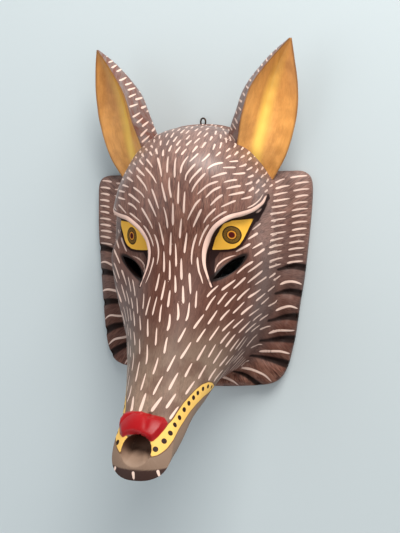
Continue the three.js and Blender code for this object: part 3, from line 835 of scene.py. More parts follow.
def lieOfHead(co, no, loftLie):
    # direction of the hair at each point, from the places noted above, or mirrored where the camera can't see
    lie = np.array(fur["lie"], float)
    right, up, viewer = np.array(fur["seenAlong"]), np.array([0, 1, 0]), np.array(fur["seenFrom"])
    turn = np.radians(lie[:, 2])

    def seenLie(p, n):
        d2 = (p[:, :1] - lie[:, 0])**2 + (p[:, 1:2] - lie[:, 1])**2
        w = (d2 + fur["reach"])**-2.5
        a, b = unit(np.column_stack([w @ np.cos(turn), w @ np.sin(turn)])).T
        facing = n @ viewer
        away = (a * (n @ right) + b * (n @ up)) / np.maximum(facing, .2)
        way = a[:, None] * right + b[:, None] * up - away[:, None] * viewer
        return unit(way), smooth(.02, .25, facing)[:, None]

    flip = np.array([-1, 1, 1])
    near, seen = seenLie(co, no)
    other, otherSeen = seenLie(co * flip, no * flip)
    return alongSkin(seen * near + (1 - seen) * (otherSeen * other * flip + (1 - otherSeen) * loftLie), no)


def loftOf(co, no):
    # nearest point of the uncut loft: which skin it is, the way along it and the run from the nose
    tree = treeOf(drawnPoints)
    near = np.array([tree.find(p)[1] for p in co])
    ways, runs, begin = [[[0, 1, 0]]], [[0]], 0.0
    for corners in sorted({len(ring) for ring in outerRings}):
        group = np.array([ring for ring in outerRings if len(ring) == corners])
        ways.append(np.gradient(group, axis=0).reshape(-1, 3))
        run = begin + runOf(np.linalg.norm(np.diff(group, axis=0), axis=2).mean(1))
        runs.append(np.repeat(run, corners))
        begin = run[-1]
    hidden = len(drawnPoints) - sum(len(part) for part in runs)
    way = unit(np.concatenate([*ways, np.ones((hidden, 3))]))[near]
    run = np.concatenate([*runs, np.zeros(hidden)])[near]
    return drawnSkin[near] > .5, alongSkin(way, no), run, drawnAngle[near]


# Parts of the coat, each a product of soft steps: along x from the middle, along side (right is more),
# y or z, or up from a line of the muzzle
zones = {
    "lip": (("teethLow", 1, -1), ("z", 112, 135)),
    # chin: the underside of the jaw, painted dark as shade where it faces down
    "chin": (("jaw", .4, -.8), ("z", 100, 175)),
    # mouthShade: painted shadow high in the open mouth, under the nose, fading to painted light at the lip
    "mouthShade": (("y", -251, -231),),
    "foot": (("z", 90, 60), ("x", 30, 50)),
    "cheek": (("x", 54, 84), ("y", -150, -90)),
    # crown: paler grey over the top of the head, partly the fur's grey and partly a painted highlight
    "crownGreyAndHighlight": (("y", -35, 40),),
    # the left flank paler grey: painted rim light from the left
    "leftFlankRimLight": (("side", -14, -45), ("y", -60, -110), ("z", 30, 60)),
    # deep: darker, redder brown down the face and snout, partly the fur's colour and partly painted shade
    "deep": (("y", -30, -100), ("y", -205, -160)),
    "forehead": (("y", -70, -20),),
    "olive": (("y", -120, -190), ("z", 60, 120)),
    "smallTop": (("y", 0, 14),),
    "smallSide": (("x", 56, 68), ("y", -54, -34)),
    "snout": (("y", -112, -150), ("x", 50, 34)),
    "low": (("y", -75, -115),),
    "temple": (("x", 30, 44), ("y", -84, -64)),
}


def inZone(name, p):
    x, y, z = p.T
    axes = {"x": np.abs(x), "side": x, "y": y, "z": z}
    axes |= {line: y - lineAt(line, z) for line in ("teethLow", "jaw")}
    return math.prod(smooth(begin, end, axes[axis]) for axis, begin, end in zones[name])


def strokeSizes(p):
    # length and sideways spacing of the strokes, by the part of the coat
    parts = {name: inZone(name, p) for name in ("snout", "low", "temple")}
    parts["small"] = np.maximum(inZone("smallTop", p), .8 * inZone("smallSide", p))
    parts["temple"] = parts["temple"] * (1 - parts["small"])
    length = fur["length"] - sum(less * parts[name] for name, less in fur["shorter"].items())
    spacing = fur["spacing"] + sum(more * parts[name] for name, more in fur["wider"].items())
    onRuff = (p[:, 2] < 19) & (np.abs(p[:, 0]) > 82)
    return np.where(onRuff, fur["onRuff"][0], length), np.where(onRuff, fur["onRuff"][1], spacing)


def strokeRoom(p, fields):
    # strokes keep off the eyes, brows, nose, mouth, teeth, lips and the grooved locks
    y, z = p[:, 1], p[:, 2]
    rooms = [fields[name] - distance for name, distance in fur["keepOff"].items()]
    lips = (z > 118) & (y < lineAt("teethLow", z) + 1) & (y > lineAt("jaw", z) - 1.5)
    front = (z > 190) & (y < -225)
    _, angle, t = ruffPlace(p)
    first = np.where(p[:, 0] > 0, ruff["rightGrooves"][0][0], ruff["leftGrooves"][0][0])
    locks = (angle < first + 2) & (t > -.12) & (z < 26)
    return np.where(lips | front | locks, -1, np.min([z - fur["bareZ"], *rooms], axis=0))


def paintHead(piece):
    co, no = vertexArrays(piece)
    outer, loftLie, run, angle = loftOf(co, no)
    gap, t = carveRuff(co)
    y, z = co[:, 1], co[:, 2]
    groove = gap - .35 + .5 * (1 - smooth(0, .4, t)) + .35 * np.maximum(0, z - 26)
    foot = .66 * np.exp(-((t + .3) / .45)**2) * inZone("foot", co)
    teeth = teethField(co)
    fields = facePaintFields(co) | {name: inZone(name, co) for name in ("chin", "mouthShade", "deep", "olive")} | {
        "teeth": teeth,
        "dot": dotField(co),
        "nose": noseField(co),
        "mouth": mouthField(co),
        "groove": np.where(outer, groove, 20),
        "inside": ~outer,
        "flowAlong": run,
        "flowAcross": angle * 60,
        "eyeX": (np.abs(co[:, 0]) - face["iris"][0]) / np.where(co[:, 0] < 0, face["leftIrisShare"], 1),
        "eyeY": y - face["iris"][1],
        "lip": inZone("lip", co) * (teeth > -.5),
        # grey: the fur's grey at the cheeks and the foot of the head, with a painted highlight on the crown and
        # painted rim light on the left flank
        "greyAndPaintedLight": (np.maximum(foot, .45 * inZone("cheek", co)) + .55 * inZone("crownGreyAndHighlight", co)
                 + .6 * inZone("leftFlankRimLight", co)),
        "gloss": inZone("forehead", co) * (z > 30),
    }
    store(piece, fields)
    coat = Coat(co[outer], no[outer], lieOfHead(co, no, loftLie)[outer], strokeRoom(co, fields)[outer])
    flat = coat.seenFlat()
    strokes = [(laidLine(coat, [a, b]), wide) for a, b, wide in fur["nearNose"] + fur["chin"]]
    for sign in (1, -1):
        twin = [(sign * x, y) for x, y in face["browTwin"]][::-1]
        strokes.append((laidLine(coat, twin, flat), .6))
        for begin, end, away in face["browSides"]:
            strokes.append((laidLine(coat, besideBrow(sign, begin, end, away), flat), .8))
    strokes += lockStrokes(coat) + plateStrokes(coat, flat)
    length, across = strokeSizes(coat.points)
    turned = (coat.points[:, 1] > fur["turned"][0]) & (np.abs(coat.points[:, 0]) > fur["turned"][1])
    strokes = scatterStrokes(coat, strokes, run[outer], length, across, turned, 17)
    layStrokes(piece, strokes)


def besideBrow(sign, begin, end, away):
    # places along the upper side of the brow, at a distance from it
    x, y = through(browCurve, np.linspace(begin, end, 6)).T
    slopeX, slopeY = np.gradient(x), np.gradient(y)
    long = np.hypot(slopeX, slopeY)
    return list(zip(sign * (x + slopeY / long * away), y - slopeX / long * away))


def laidLine(coat, places, flat=None):
    # a stroke through given places, laid onto the surface and evenly stepped
    places = np.array([coat.over(*p, flat) for p in places] if flat else places, float)
    for _ in range(2):
        line = through(places, np.linspace(0, 1, 40)) if len(places) < 10 else places
        long = runOf(np.linalg.norm(np.diff(line, axis=0), axis=1))
        even = np.linspace(0, long[-1], max(6, int(long[-1] / fur["sampleStep"])))
        line = np.column_stack([np.interp(even, long, line[:, k]) for k in range(3)])
        places = np.array([coat.settle(p)[0] for p in line])
    return places


# Rows of strokes on the plain upper part of the ruff, and on its locks
ruffRows = {
    "outline": (.22, .8),
    "first": -.5,
    "every": 6.4,
    "until": (111, 4.5),  # how far above the first groove the rows end, looked up at this radius
    "inset": (1.5, 3),
    "outerLong": (15, 18),
    "gap": 4.8,
    "innerEnd": (35, 78),  # from the edge, but no nearer to the middle
    "innerLower": 3.2,
    "rise": (2.2, 3.6),
    "anyWidth": (.9, 1.1),
    "onLocks": (((.10, .36, .68, .97), (.68, .62, .58, .62), 1.05),  # shares of the way out and down the lock, width
                ((-.12, -.02, .08), (.46, .36, .26), .85)),
    "lastLock": 13,
}


def plateStrokes(coat, flat):
    # two staggered rows of strokes down the plain upper part of the ruff, out to its edge
    rng = np.random.default_rng(31)
    radius, above = ruffRows["until"]
    out = []
    for sign, outline, grooves in ((1, "rightOutline", "rightGrooves"), (-1, "leftOutline", "leftGrooves")):
        edge = through(ruff[outline], np.linspace(*ruffRows["outline"], 200))
        lowest = ruff["hub"][1] + radius * math.sin(math.radians(ruff[grooves][0][1])) + above
        for y in np.arange(ruffRows["first"], lowest, -ruffRows["every"]):
            x = np.interp(-y, -edge[:, 1], edge[:, 0])
            split = x - rng.uniform(*ruffRows["outerLong"])
            innerEnd = max(x - ruffRows["innerEnd"][0], ruffRows["innerEnd"][1])
            for begin, end, lower, rise in ((x - rng.uniform(*ruffRows["inset"]), split, 0, ruffRows["rise"][0]),
                                            (split - ruffRows["gap"], innerEnd, ruffRows["innerLower"], ruffRows["rise"][1])):
                high = y - lower + rng.uniform(-.3, .3)
                places = [(end, high - rise), ((begin + end) / 2, high - .3 * rise), (begin, high)]
                line = laidLine(coat, [(sign * a, b) for a, b in places], flat)
                out.append((line, fur["halfWidth"] * rng.uniform(*ruffRows["anyWidth"])))
    return out


def scatterStrokes(coat, first, order, length, across, turned, seed):
    # fills the coat in the given order, each stroke clear of those before it
    rng = np.random.default_rng(seed)
    chance = rng.random(len(order)) < fur["thinning"]
    picked = np.flatnonzero((coat.room > 0) & (coat.normals[:, 2] > -.9) & chance)
    picked = picked[np.argsort(order[picked] + rng.uniform(0, fur["looseOrder"], len(picked)))]
    points, lie = coat.points[picked], coat.lie[picked]
    halves, widths = length[picked] / 2 + fur["endGap"], across[picked]
    free = np.ones(len(picked), bool)

    def clearRound(middle, half):
        off = points - middle
        along = dots(off, lie)
        aside = dots(off, off) - along**2
        free[(along / (halves + half))**2 + aside / widths**2 < 1] = False

    strokes = list(first)
    for line, _ in first:
        clearRound(line[len(line) // 2], np.linalg.norm(line[-1] - line[0]) / 2)
        coat.fill(line)
    for k, i in enumerate(picked):
        if not free[k] or coat.room[i] < 0:
            continue
        long = length[i] * rng.uniform(*fur["anyLength"])
        line, least = coat.stroke(coat.points[i], long, rng.uniform(-.06, .06), rng.uniform(-.05, .05))
        if least < 0:
            continue
        strokes.append((line[::-1] if turned[i] else line, fur["halfWidth"] * rng.uniform(*fur["anyWidth"])))
        clearRound(coat.points[i], long / 2)
        coat.fill(line)
    return strokes


def lockStrokes(coat):
    # one long stroke down each lock of the ruff and a short one beside its root
    rng = np.random.default_rng(23)
    flat = coat.seenFlat(40)
    out = []
    for sign in (1, -1):
        for k in range(len(ruff["rightGrooves"])):
            for shares, fractions, wide in ruffRows["onLocks"]:
                places = []
                for t, f in zip(shares, fractions):
                    lines = grooveLines(sign, t)
                    lines = [*lines, lines[-1] - ruffRows["lastLock"]]
                    a = math.radians(lines[k] + (lines[k + 1] - lines[k]) * f + rng.uniform(-.5, .5))
                    inner = np.interp(math.pi / 2 - a, cheekAngles, cheekRadii)
                    r = inner + (float(reachAt(sign, math.pi / 2 - a)) - inner) * t
                    places.append((sign * math.cos(a) * r, ruff["hub"][1] + math.sin(a) * r))
                out.append((laidLine(coat, places, flat), wide * rng.uniform(*ruffRows["anyWidth"])))
    return out


paintHead(wolf)
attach(wolf, "root")
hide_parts("mask_body")
wolf.data.shade_smooth()
wolf.data.set_sharp_from_angle(angle=math.radians(head["sharpFrom"]))
print("head painted")


# Ears, glued to the skull: sections from inside the skull to the tip
ear = {
    "outer": [(76, -6, 22), (92, 21, 28), (102, 55, 32), (104, 83, 38), (101.5, 108, 44), (98.8, 127, 47)],
    "fold": [(60, 8, 36), (64, 27, 41), (69, 53, 38), (75, 78, 38), (85, 104, 42), (98, 126, 48)],
    "inner": [(44, 10, 50), (48, 28, 57), (54, 50, 67), (63, 79, 67), (80, 105, 59), (97, 126.5, 49)],
    "bulge": [(30, 20, 34), (37, 42, 41), (44, 60, 44), (54, 84, 45), (76, 110, 46), (96.4, 127, 47.5)],
    "back": [(48, 4, 6), (52, 28, 13), (58, 54, 18), (68, 82, 25), (88, 108, 37), (97.6, 127.2, 45.8)],
    "rings": 90,
    "frontSteps": 34,
    "rearSteps": 90,
    "sag": 2.2,
    "rootDepth": 5.5,
    "rimSoftening": 3,
    "gouge": (.25, 21, 10, 30),
    "offRim": 1.6,
    "strokeLength": 12,
    "strokeSpacing": 6,
    "strokeTurn": 1.33,
}


def fromTheSkull(rings):
    # lets each line of the ear begin a little under the skin of the head, clear of the hollow
    count, n = rings.shape[:2]
    s, angle = (grid.ravel() for grid in np.meshgrid(np.linspace(0, .6, 60), np.linspace(-np.pi, np.pi, 240)))
    skin, out = headPoints(s, angle), headNormals(s, angle)
    tree = treeOf(skin)
    flat = rings.reshape(-1, 3)
    near = np.array([tree.find(p)[1] for p in flat])
    depth = dots(skin[near] - flat, out[near]).reshape(count, n)
    begin = np.zeros(n)
    for j in range(n):
        deep = np.flatnonzero(depth[:count // 2, j] > ear["rootDepth"])
        if len(deep):
            a, b = depth[deep[-1]:deep[-1] + 2, j]
            begin[j] = deep[-1] + (a - ear["rootDepth"]) / (a - b)
    at = begin + (count - 1 - begin) * np.linspace(0, 1, count)[:, None]
    i = np.minimum(at.astype(int), count - 2)
    share, column = (at - i)[..., None], np.arange(n)
    return rings[i, column] * (1 - share) + rings[i + 1, column] * share, at / (count - 1)


def makeEar(sign, name):
    count, f, m = ear["rings"], ear["frontSteps"], ear["rearSteps"]
    lines = [through(ear[k], np.linspace(0, 1, count)) for k in ("outer", "fold", "inner", "bulge", "back")]
    rings = []
    for outer, fold, inner, bulge, back in zip(*lines):
        ring = []
        for a, d in ((outer, fold), (fold, inner)):
            t = np.linspace(0, 1, f, endpoint=False)[:, None]
            dip = ear["sag"] * np.sin(np.pi * t) * min(1, np.linalg.norm(a - d) / 25)
            ring.append(a + (d - a) * t - dip * [0, 0, 1])
        rings.append(np.concatenate([*ring, through([inner, bulge, back, outer], np.arange(m) / m)]))
    rings, rise = fromTheSkull(np.array(rings))
    n = rings.shape[1]
    for _ in range(ear["rimSoftening"]):
        rings = .5 * rings + .25 * (np.roll(rings, 1, axis=1) + np.roll(rings, -1, axis=1))
    rings[:, :, 2] += handMade(rings.reshape(-1, 3), *ear["gouge"]).reshape(count, n)
    points = np.concatenate([rings[0].mean(0)[None], rings.reshape(-1, 3), rings[-1].mean(0)[None]])
    points[:, 0] *= sign
    faces = fanFaces(0, 1, n)
    for r in range(count - 1):
        faces += stripFaces(1 + r * n, 1 + (r + 1) * n, n)
    faces += [corners[::-1] for corners in fanFaces(len(points) - 1, 1 + (count - 1) * n, n)]
    piece = meshFrom(name, points, faces)
    turnOutward(piece)
    # how far each point lies from the rims and the fold, along its section
    size = np.linalg.norm(np.diff(rings, axis=1, append=rings[:, :1]), axis=2)
    at = np.cumsum(size, axis=1) - size
    innerAt = at[:, 2 * f][:, None]
    behind = np.minimum(at - innerAt, size.sum(1)[:, None] - at)
    rim = np.where(at <= innerAt, -np.minimum(at, innerAt - at), behind)
    run = runOf(np.linalg.norm(np.diff(rings, axis=0), axis=2).mean(1))[:, None]

    def pad(a, ends=0):
        return np.concatenate([[ends], np.broadcast_to(a, (count, n)).ravel(), [ends]])

    fromRim = pad(rim, 5)
    store(piece, {
        "rim": fromRim,
        "fold": pad(np.abs(at - at[:, f][:, None]), 9),
        "flowAlong": pad(run),
        "flowAcross": pad(at),
        "rise": pad(rise),
    })
    co, no = vertexArrays(piece)
    up = [[0, 1, 0]]
    lie = alongSkin(np.concatenate([up, unit(np.gradient(rings, axis=0)).reshape(-1, 3), up]) * [sign, 1, 1], no)
    turn = ear["strokeTurn"]
    lie = lie * math.cos(turn) + np.cross(no, lie) * math.sin(turn) * sign
    keep = fromRim > 0
    coat = Coat(co[keep], no[keep], lie[keep], fromRim[keep] - ear["offRim"])
    one = np.ones(len(coat.points))
    layStrokes(piece, scatterStrokes(coat, [], pad(run)[keep], one * ear["strokeLength"],
                                     one * ear["strokeSpacing"], one < 0, 29 + sign))
    piece.data.shade_smooth()
    return piece


earRight = makeEar(1, "earRight")
earLeft = makeEar(-1, "earLeft")
for piece, node in ((earRight, "ear_right"), (earLeft, "ear_left")):
    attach(piece, "root")
    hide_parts(node)
print("ears made")


class Wire:
    # a socket in a node tree; sums and products of wires add their Math nodes
    def __init__(self, tree, socket=None):
        self.tree, self.socket = tree, socket

    def node(self, kind, settings=None, sockets=None, out=0):
        made = self.tree.nodes.new(kind)
        for key, value in (settings or {}).items():
            setattr(made, key, value)
        for key, value in (sockets or {}).items():
            if isinstance(value, Wire):
                self.tree.links.new(value.socket, made.inputs[key])
            else:
                made.inputs[key].default_value = value
        return Wire(self.tree, made.outputs[out])

    def math(self, operation, *values):
        return self.node("ShaderNodeMath", {"operation": operation}, dict(enumerate(values)))

    def __add__(self, other):
        return self.math("ADD", self, other)

    def __sub__(self, other):
        return self.math("SUBTRACT", self, other)

    def __rsub__(self, other):
        return self.math("SUBTRACT", other, self)

    def __mul__(self, other):
        return self.math("MULTIPLY", self, other)

    def __pow__(self, other):
        return self.math("POWER", self, other)

    def __abs__(self):
        return self.math("ABSOLUTE", self)

    __radd__ = __add__
    __rmul__ = __mul__

    def either(self, other):
        return self.math("MAXIMUM", self, other)

    def both(self, other):
        return self.math("MINIMUM", self, other)

    def below(self, edge, soft):
        # 1 where the value is under the edge, 0 above it, with a soft step between
        steps = {"From Min": edge - soft, "From Max": edge + soft, "To Min": 1.0, "To Max": 0.0}
        return self.node("ShaderNodeMapRange", {"interpolation_type": "SMOOTHSTEP"}, {"Value": self, **steps})

    def over(self, edge, soft):
        return 1 - self.below(edge, soft)

    def field(self, name):
        return self.node("ShaderNodeAttribute", {"attribute_name": name}, out="Fac")

    def vector(self, x, y, z):
        return self.node("ShaderNodeCombineXYZ", None, {0: x, 1: y, 2: z})

    def noise(self, vector, scale, detail=3.0, rough=.5, warp=0.0):
        return self.node("ShaderNodeTexNoise", None, {"Vector": vector, "Scale": scale, "Detail": detail,
                                                      "Roughness": rough, "Distortion": warp}, out="Fac")

    def grain(self, across, along, shift, detail, rough):
        # noise drawn out along the hair
        return self.noise(self.vector(across, along, shift), 1.0, detail, rough)

    def mix(self, factor, first, second):
        return self.node("ShaderNodeMix", {"data_type": "RGBA"}, {0: factor, 6: first, 7: second}, out=2)

    def painted(self, coat, *layers):
        # layers of paint over a coat, each where its mask says
        for mask, colour in layers:
            coat = self.mix(mask, coat, colour)
        return coat

    def bump(self, height, distance=.0006, strength=.5):
        return self.node("ShaderNodeBump", None, {"Strength": strength, "Distance": distance, "Height": height})


def rgb(r, g, b):
    # paint colour as seen on a screen, to the linear values that the shader takes
    line = [c / 255 for c in (r, g, b)]
    return tuple(c / 12.92 if c <= .04045 else ((c + .055) / 1.055)**2.4 for c in line) + (1.0,)


def newMaterial(name, sockets):
    material = bpy.data.materials.new(name)
    material.use_nodes = True
    tree = material.node_tree
    tree.nodes.clear()
    shader = tree.nodes.new("ShaderNodeBsdfPrincipled")
    output = tree.nodes.new("ShaderNodeOutputMaterial")
    tree.links.new(shader.outputs[0], output.inputs["Surface"])
    for key, value in sockets.items():
        shader.inputs[key].default_value = value

    def finish(**links):
        for key, wire in links.items():
            tree.links.new(wire.socket, shader.inputs[key.replace("_", " ")])
        return material

    return Wire(tree), finish


paint = {name: rgb(*shade) for name, shade in {
    "furDark": (58, 29, 21),
    "furMid": (118, 69, 55),
    "furLight": (174, 130, 110),
    "furGrey": (134, 120, 116),
    "furOlive": (150, 136, 118),
    # furBrownAndShade: dark red-brown, also laid on as painted shade down the snout
    "furBrownAndShade": (72, 40, 31),
    "washLight": (154, 110, 92),
    "washDark": (84, 50, 40),
    "stroke": (238, 208, 192),
    "strokeGrey": (206, 178, 166),
    "brow": (238, 204, 188),
    "browWorn": (206, 160, 146),
    "browShade": (62, 32, 26),
    "dark": (24, 8, 6),
    "darkWorn": (44, 20, 17),
    "eye": (252, 198, 78),
    "eyeDeep": (240, 166, 46),
    "eyeShade": (58, 30, 24),
    "iris": (124, 92, 30),
    "irisRay": (98, 68, 22),
    "irisDark": (38, 24, 10),
    "irisRing": (226, 150, 48),
    "pupil": (82, 12, 6),
    # near-black on the walls of the sight slits: painted shadow in the holes
    "slit": (24, 12, 9),
    "teeth": (240, 198, 108),
    "teethDeep": (222, 166, 72),
    "teethEdge": (84, 50, 30),
    "dot": (40, 16, 8),
    "lip": (116, 92, 76),
    # the jaw's underside: painted shade, mottled
    "chin": (42, 25, 21),
    "chinShadePale": (74, 51, 45),
    "nose": (178, 2, 12),
    "noseDeep": (132, 0, 8),
    # the open mouth: painted shadow at its top, painted light toward the lip; the lighter one also streaks the lips
    "mouthPaintedShadow": (92, 54, 38),
    "mouthLitAndLipPale": (146, 122, 104),
    "groove": (22, 9, 6),
    "bareWood": (168, 128, 86),
    "bareWoodDark": (120, 84, 52),
    "bareWoodMid": (140, 104, 70),
    "gold": (232, 164, 86),
    "goldDeep": (210, 144, 72),
    "goldFine": (240, 180, 100),
    "goldWorn": (160, 96, 44),
    "goldTip": (170, 108, 60),
    "goldBright": (255, 208, 96),
    "goldRim": (110, 70, 38),
    "wire": (60, 56, 52),
    "wireRust": (96, 62, 42),
    "floor": (193, 203, 206),
    "floorDeep": (187, 198, 202),
}.items()}


def strokeMask(w):
    a, b = w.field("strokeAlong"), w.field("strokeAcross")
    ends = (1 - w.field("strokeEnds")**5.0).either(0)
    wide = ends**.5 * (1.22 - a * .28) - .22
    return (abs(b) - wide).below(0, .16) * w.field("strokeGap").below(1.55, .15)


def barePaint(w, place):
    # bare carved wood of the hollow and the back: long grain and gouge marks
    grain = w.noise(w.node("ShaderNodeMapping", None, {"Vector": place, "Scale": (260, 18, 260)}), 1.0, 5, .6, .4)
    broad = w.noise(place, 28, 3)
    return w.painted(paint["bareWoodDark"], (grain, paint["bareWood"]), (broad * .5, paint["bareWoodMid"])), grain


def headMaterial():
    w, finish = newMaterial("paintedHead", {"Coat Roughness": .42, "Specular IOR Level": .16})
    place = w.node("ShaderNodeTexCoord", out="Object")
    along, across, deep, greyAndPaintedLight, olive = map(w.field, ("flowAlong", "flowAcross", "deep", "greyAndPaintedLight", "olive"))
    streak = w.grain(across * 1.1, along * .07, 0, 6, .62)
    fine = w.grain(across * 3.2, along * .16, 4, 4, .6)
    wash = w.grain(across * .22, along * .03, 7, 3, .5)
    blotch, broad = w.noise(place, 34, 4, .6), w.noise(place, 11, 2)
    groove = w.field("groove").below(.3, 1.0)
    strokes = strokeMask(w)
    strokePaint = w.mix(w.field("strokeTone") * .35 + fine * .15, paint["stroke"], paint["strokeGrey"])
    coat = w.painted(
        paint["furDark"],
        (streak.over(.48, .11), paint["furMid"]),
        (fine.over(.54, .09) * .62, paint["furLight"]),
        (wash.over(.54, .12) * .4, paint["washLight"]),
        (wash.below(.44, .1) * .45, paint["washDark"]),
        # darker, redder brown down the face and snout: partly the fur's colour, partly painted shade
        (deep * (.42 + .5 * streak), paint["furBrownAndShade"]),
        # grey fur, and painted light: a painted highlight on the crown and painted rim light on the left flank
        (greyAndPaintedLight * (.35 + .5 * streak), paint["furGrey"]),
        (olive * (.25 + .5 * streak), paint["furOlive"]),
        (blotch.over(.54, .12) * (.36 + olive * .2), paint["washDark"]),
        (fine.below(.42, .05) * .4, paint["furDark"]),
        (groove * (.86 + .14 * fine), paint["groove"]),
        (strokes * (.80 + .15 * streak), strokePaint))
    # brows, dark lines and lids
    eye, brow, inner, under = map(w.field, ("eye", "brow", "darkInner", "underBrow"))
    darkMask = (eye - 2.2).both(inner).both(w.field("darkOuter")).both((brow - .8).either(0 - under)).below(.1, .4)
    coat = w.painted(
        coat,
        (brow.below(.9, .5) * .7, paint["browShade"]),
        (eye.both(inner).below(3.4, 2.6) * under.over(0, .5) * .55, paint["eyeShade"]),
        (darkMask, w.mix(blotch, paint["dark"], paint["darkWorn"])),
        (brow.below(0, .22), w.mix(fine * .4 + blotch * .2, paint["brow"], paint["browWorn"])),
        (w.field("lid").below(0, .3) * .9, paint["brow"]))
    # eyes
    x, y = w.field("eyeX"), w.field("eyeY")
    r = (x * x + y * y)**.5
    rays = w.noise(w.vector(w.math("ARCTAN2", y, x) * 3.0, r * .25, 2), 2.2, 4, .7)
    eyeMask = eye.below(0, .2)
    eyePaint = w.painted(
        paint["eye"],
        (blotch * .5 + fine * .2, paint["eyeDeep"]),
        (r.below(face["irisRadius"], .25), paint["irisDark"]),
        (r.below(face["irisRadius"] - 1, .3), w.mix(rays.over(.5, .15), paint["iris"], paint["irisRay"])),
        (r.below(4.6, .25), paint["irisDark"]),
        (r.below(3.9, .3), paint["irisRing"]),
        (r.below(2.8, .25), paint["pupil"]))
    # muzzle, hollow and sight slits
    chin, teeth, hollow = map(w.field, ("chin", "teeth", "inside"))
    # painted shadow at the top of the open mouth, painted light toward the lip
    mouthPaintedShading = w.mix(w.field("mouthShade"), paint["mouthLitAndLipPale"], paint["mouthPaintedShadow"])
    noseMask, inside = w.field("nose").below(0, .35), hollow.over(.5, .3)
    bare, grain = barePaint(w, place)
    coat = w.painted(
        coat,
        (eyeMask, eyePaint),
        (w.field("lip"), w.mix(streak, paint["lip"], paint["mouthLitAndLipPale"])),
        # the jaw's underside painted dark: painted shade where it faces down
        (chin, w.mix(fine, paint["chin"], paint["chinShadePale"])),
        (strokes * chin, paint["stroke"]),
        (teeth.below(.55, .35) * .85, paint["teethEdge"]),
        (teeth.below(0, .25), w.mix(blotch * .4 + fine * .3, paint["teeth"], paint["teethDeep"])),
        (w.field("dot").below(.25, .25) * teeth.below(0, .3), paint["dot"]),
        (w.field("mouth").below(1.0, .04) * hollow.below(.5, .3), mouthPaintedShading),
        (noseMask, w.mix(blotch, paint["nose"], paint["noseDeep"])),
        (inside, bare),
        # the walls of the sight slits painted near-black: painted shadow
        (w.field("slit").below(.8, .7), paint["slit"]))
    rough = (.40 + .16 * fine + .1 * broad) * (1 - inside) + .75 * inside
    rough = rough + (darkMask + groove) * .25 - noseMask * .2 - eyeMask * .1
    height = strokes * .06 + streak * .10 + fine * .06 + noseMask * .2 + grain * inside * .3 + blotch * .08
    gloss = (.06 + w.field("gloss") * .94 + noseMask * .2 + eyeMask * .3) * (1 - inside) * (1 - darkMask * .9)
    return finish(Base_Color=coat, Roughness=rough, Normal=w.bump(height), Coat_Weight=gloss)


def earMaterial():
    w, finish = newMaterial("paintedEar", {"Coat Weight": .4, "Coat Roughness": .3, "Specular IOR Level": .15})
    place = w.node("ShaderNodeTexCoord", out="Object")
    along, across, rim, rise = map(w.field, ("flowAlong", "flowAcross", "rim", "rise"))
    streak = w.grain(across * .16, along * .05, 3, 5, .6)
    fine = w.grain(across * 1.8, along * .12, 1, 4, .6)
    blotch = w.noise(place, 60, 4, .6)
    gold = w.painted(
        paint["goldDeep"],
        (streak.over(.5, .16), paint["gold"]),
        (fine.over(.55, .12) * .4, paint["goldFine"]),
        (blotch.over(.58, .12) * .3, paint["goldWorn"]),
        (rise.over(.62, .4) * .4, paint["goldTip"]),
        (w.field("fold").below(6, 5) * rise.below(.7, .3) * (.7 + .3 * streak), paint["goldBright"]),
        (rim.over(-1.6, 1.2) * .6, paint["goldRim"]))
    strokes = strokeMask(w)
    coat = w.painted(
        paint["furMid"],
        (streak.over(.5, .2), paint["furGrey"]),
        (fine.over(.55, .15) * .5, paint["furDark"]),
        (strokes * .85, paint["stroke"]),
        (rim.below(0, .3), gold))
    height = strokes * rim.over(0, .3) * .06 + streak * .12 + fine * .08
    return finish(Base_Color=coat, Roughness=.36 + .2 * fine, Normal=w.bump(height))


def wireMaterial():
    w, finish = newMaterial("darkWire", {"Metallic": .9})
    rust = w.noise(w.node("ShaderNodeTexCoord", out="Object"), 900, 4, .6)
    coat = w.mix(rust.over(.55, .1), paint["wire"], paint["wireRust"])
    return finish(Base_Color=coat, Roughness=.4 + .3 * rust, Normal=w.bump(rust, .0002, .4))


wolf.data.materials.clear()
wolf.data.materials.append(headMaterial())
wolf.data.polygons.foreach_set("material_index", np.zeros(len(wolf.data.polygons), int))
earPaint = earMaterial()
for piece in (earRight, earLeft):
    piece.data.materials.append(earPaint)
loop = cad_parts["hanging_loop"]
loop.data.materials.clear()
loop.data.materials.append(wireMaterial())
print("materials made")


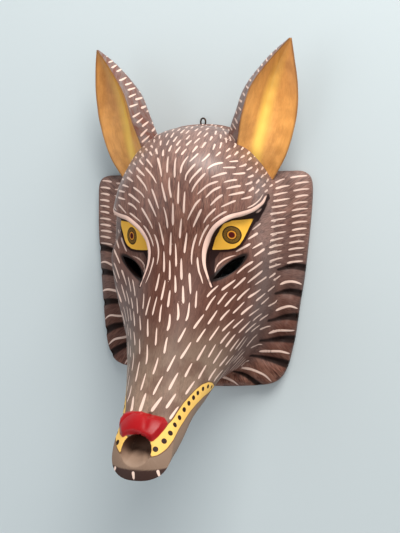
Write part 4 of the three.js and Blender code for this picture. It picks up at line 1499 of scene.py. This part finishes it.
# Floor, light and camera
stage = {
    "viewer": (273.9, -89.2, 973.3),
    "lookAt": (12.5, -89.2, 60),
    "fieldOfView": 30,
    "floorHalf": 3.0,
    "lights": {  # place, size, power and colour
        "keyLight": ((.66, 1.5, 1.0), 1.15, 48, (1, .97, .93)),
        "fillLight": ((-1.2, -.2, 1.3), 1.4, 7.5, (.92, .96, 1)),
        "frontLight": ((1.3, -.3, 1.2), 1.6, 5.5, (1, .98, .96)),
    },
    "lit": (0, 0, .05),
    "room": (.86, .88, .90, 1),
    "roomLight": .45,
}


def toFrame(p):
    return Vector((p[0], p[1] + shiftY, p[2])) / 1000


def makeStage():
    h = stage["floorHalf"]
    mesh = bpy.data.meshes.new("floor")
    mesh.from_pydata([(-h, -h, 0), (h, -h, 0), (h, h, 0), (-h, h, 0)], [], [(0, 1, 2, 3)])
    floor = addObject("floor", mesh)
    w, finish = newMaterial("paleFloor", {"Roughness": .8})
    uneven = w.noise(w.node("ShaderNodeTexCoord", out="Object"), 6, 3)
    mesh.materials.append(finish(Base_Color=w.mix(uneven * .3, paint["floor"], paint["floorDeep"])))

    camera = addObject("camera", bpy.data.cameras.new("camera"))
    place = toFrame(stage["viewer"])
    back = (place - toFrame(stage["lookAt"])).normalized()
    right = Vector((0, 1, 0)).cross(back).normalized()
    turned = Matrix((right, back.cross(right), back)).transposed().to_4x4()
    camera.matrix_world = Matrix.Translation(place) @ turned
    camera.data.sensor_width = 36
    camera.data.lens = camera.data.sensor_width / 2 / math.tan(math.radians(stage["fieldOfView"] / 2))
    bpy.context.scene.camera = camera

    for name, (place, size, power, colour) in stage["lights"].items():
        lamp = addObject(name, bpy.data.lights.new(name, "AREA"))
        lamp.data.shape = "SQUARE"
        lamp.data.size, lamp.data.energy, lamp.data.color = size, power, colour
        lamp.location = place
        lamp.rotation_euler = (Vector(stage["lit"]) - Vector(place)).to_track_quat("-Z", "Y").to_euler()
    world = bpy.data.worlds.new("paleRoom")
    bpy.context.scene.world = world
    world.use_nodes = True
    background = world.node_tree.nodes["Background"].inputs
    background[0].default_value, background[1].default_value = stage["room"], stage["roomLight"]


makeStage()
bpy.context.scene.view_settings.view_transform = "Standard"
print("stage set")
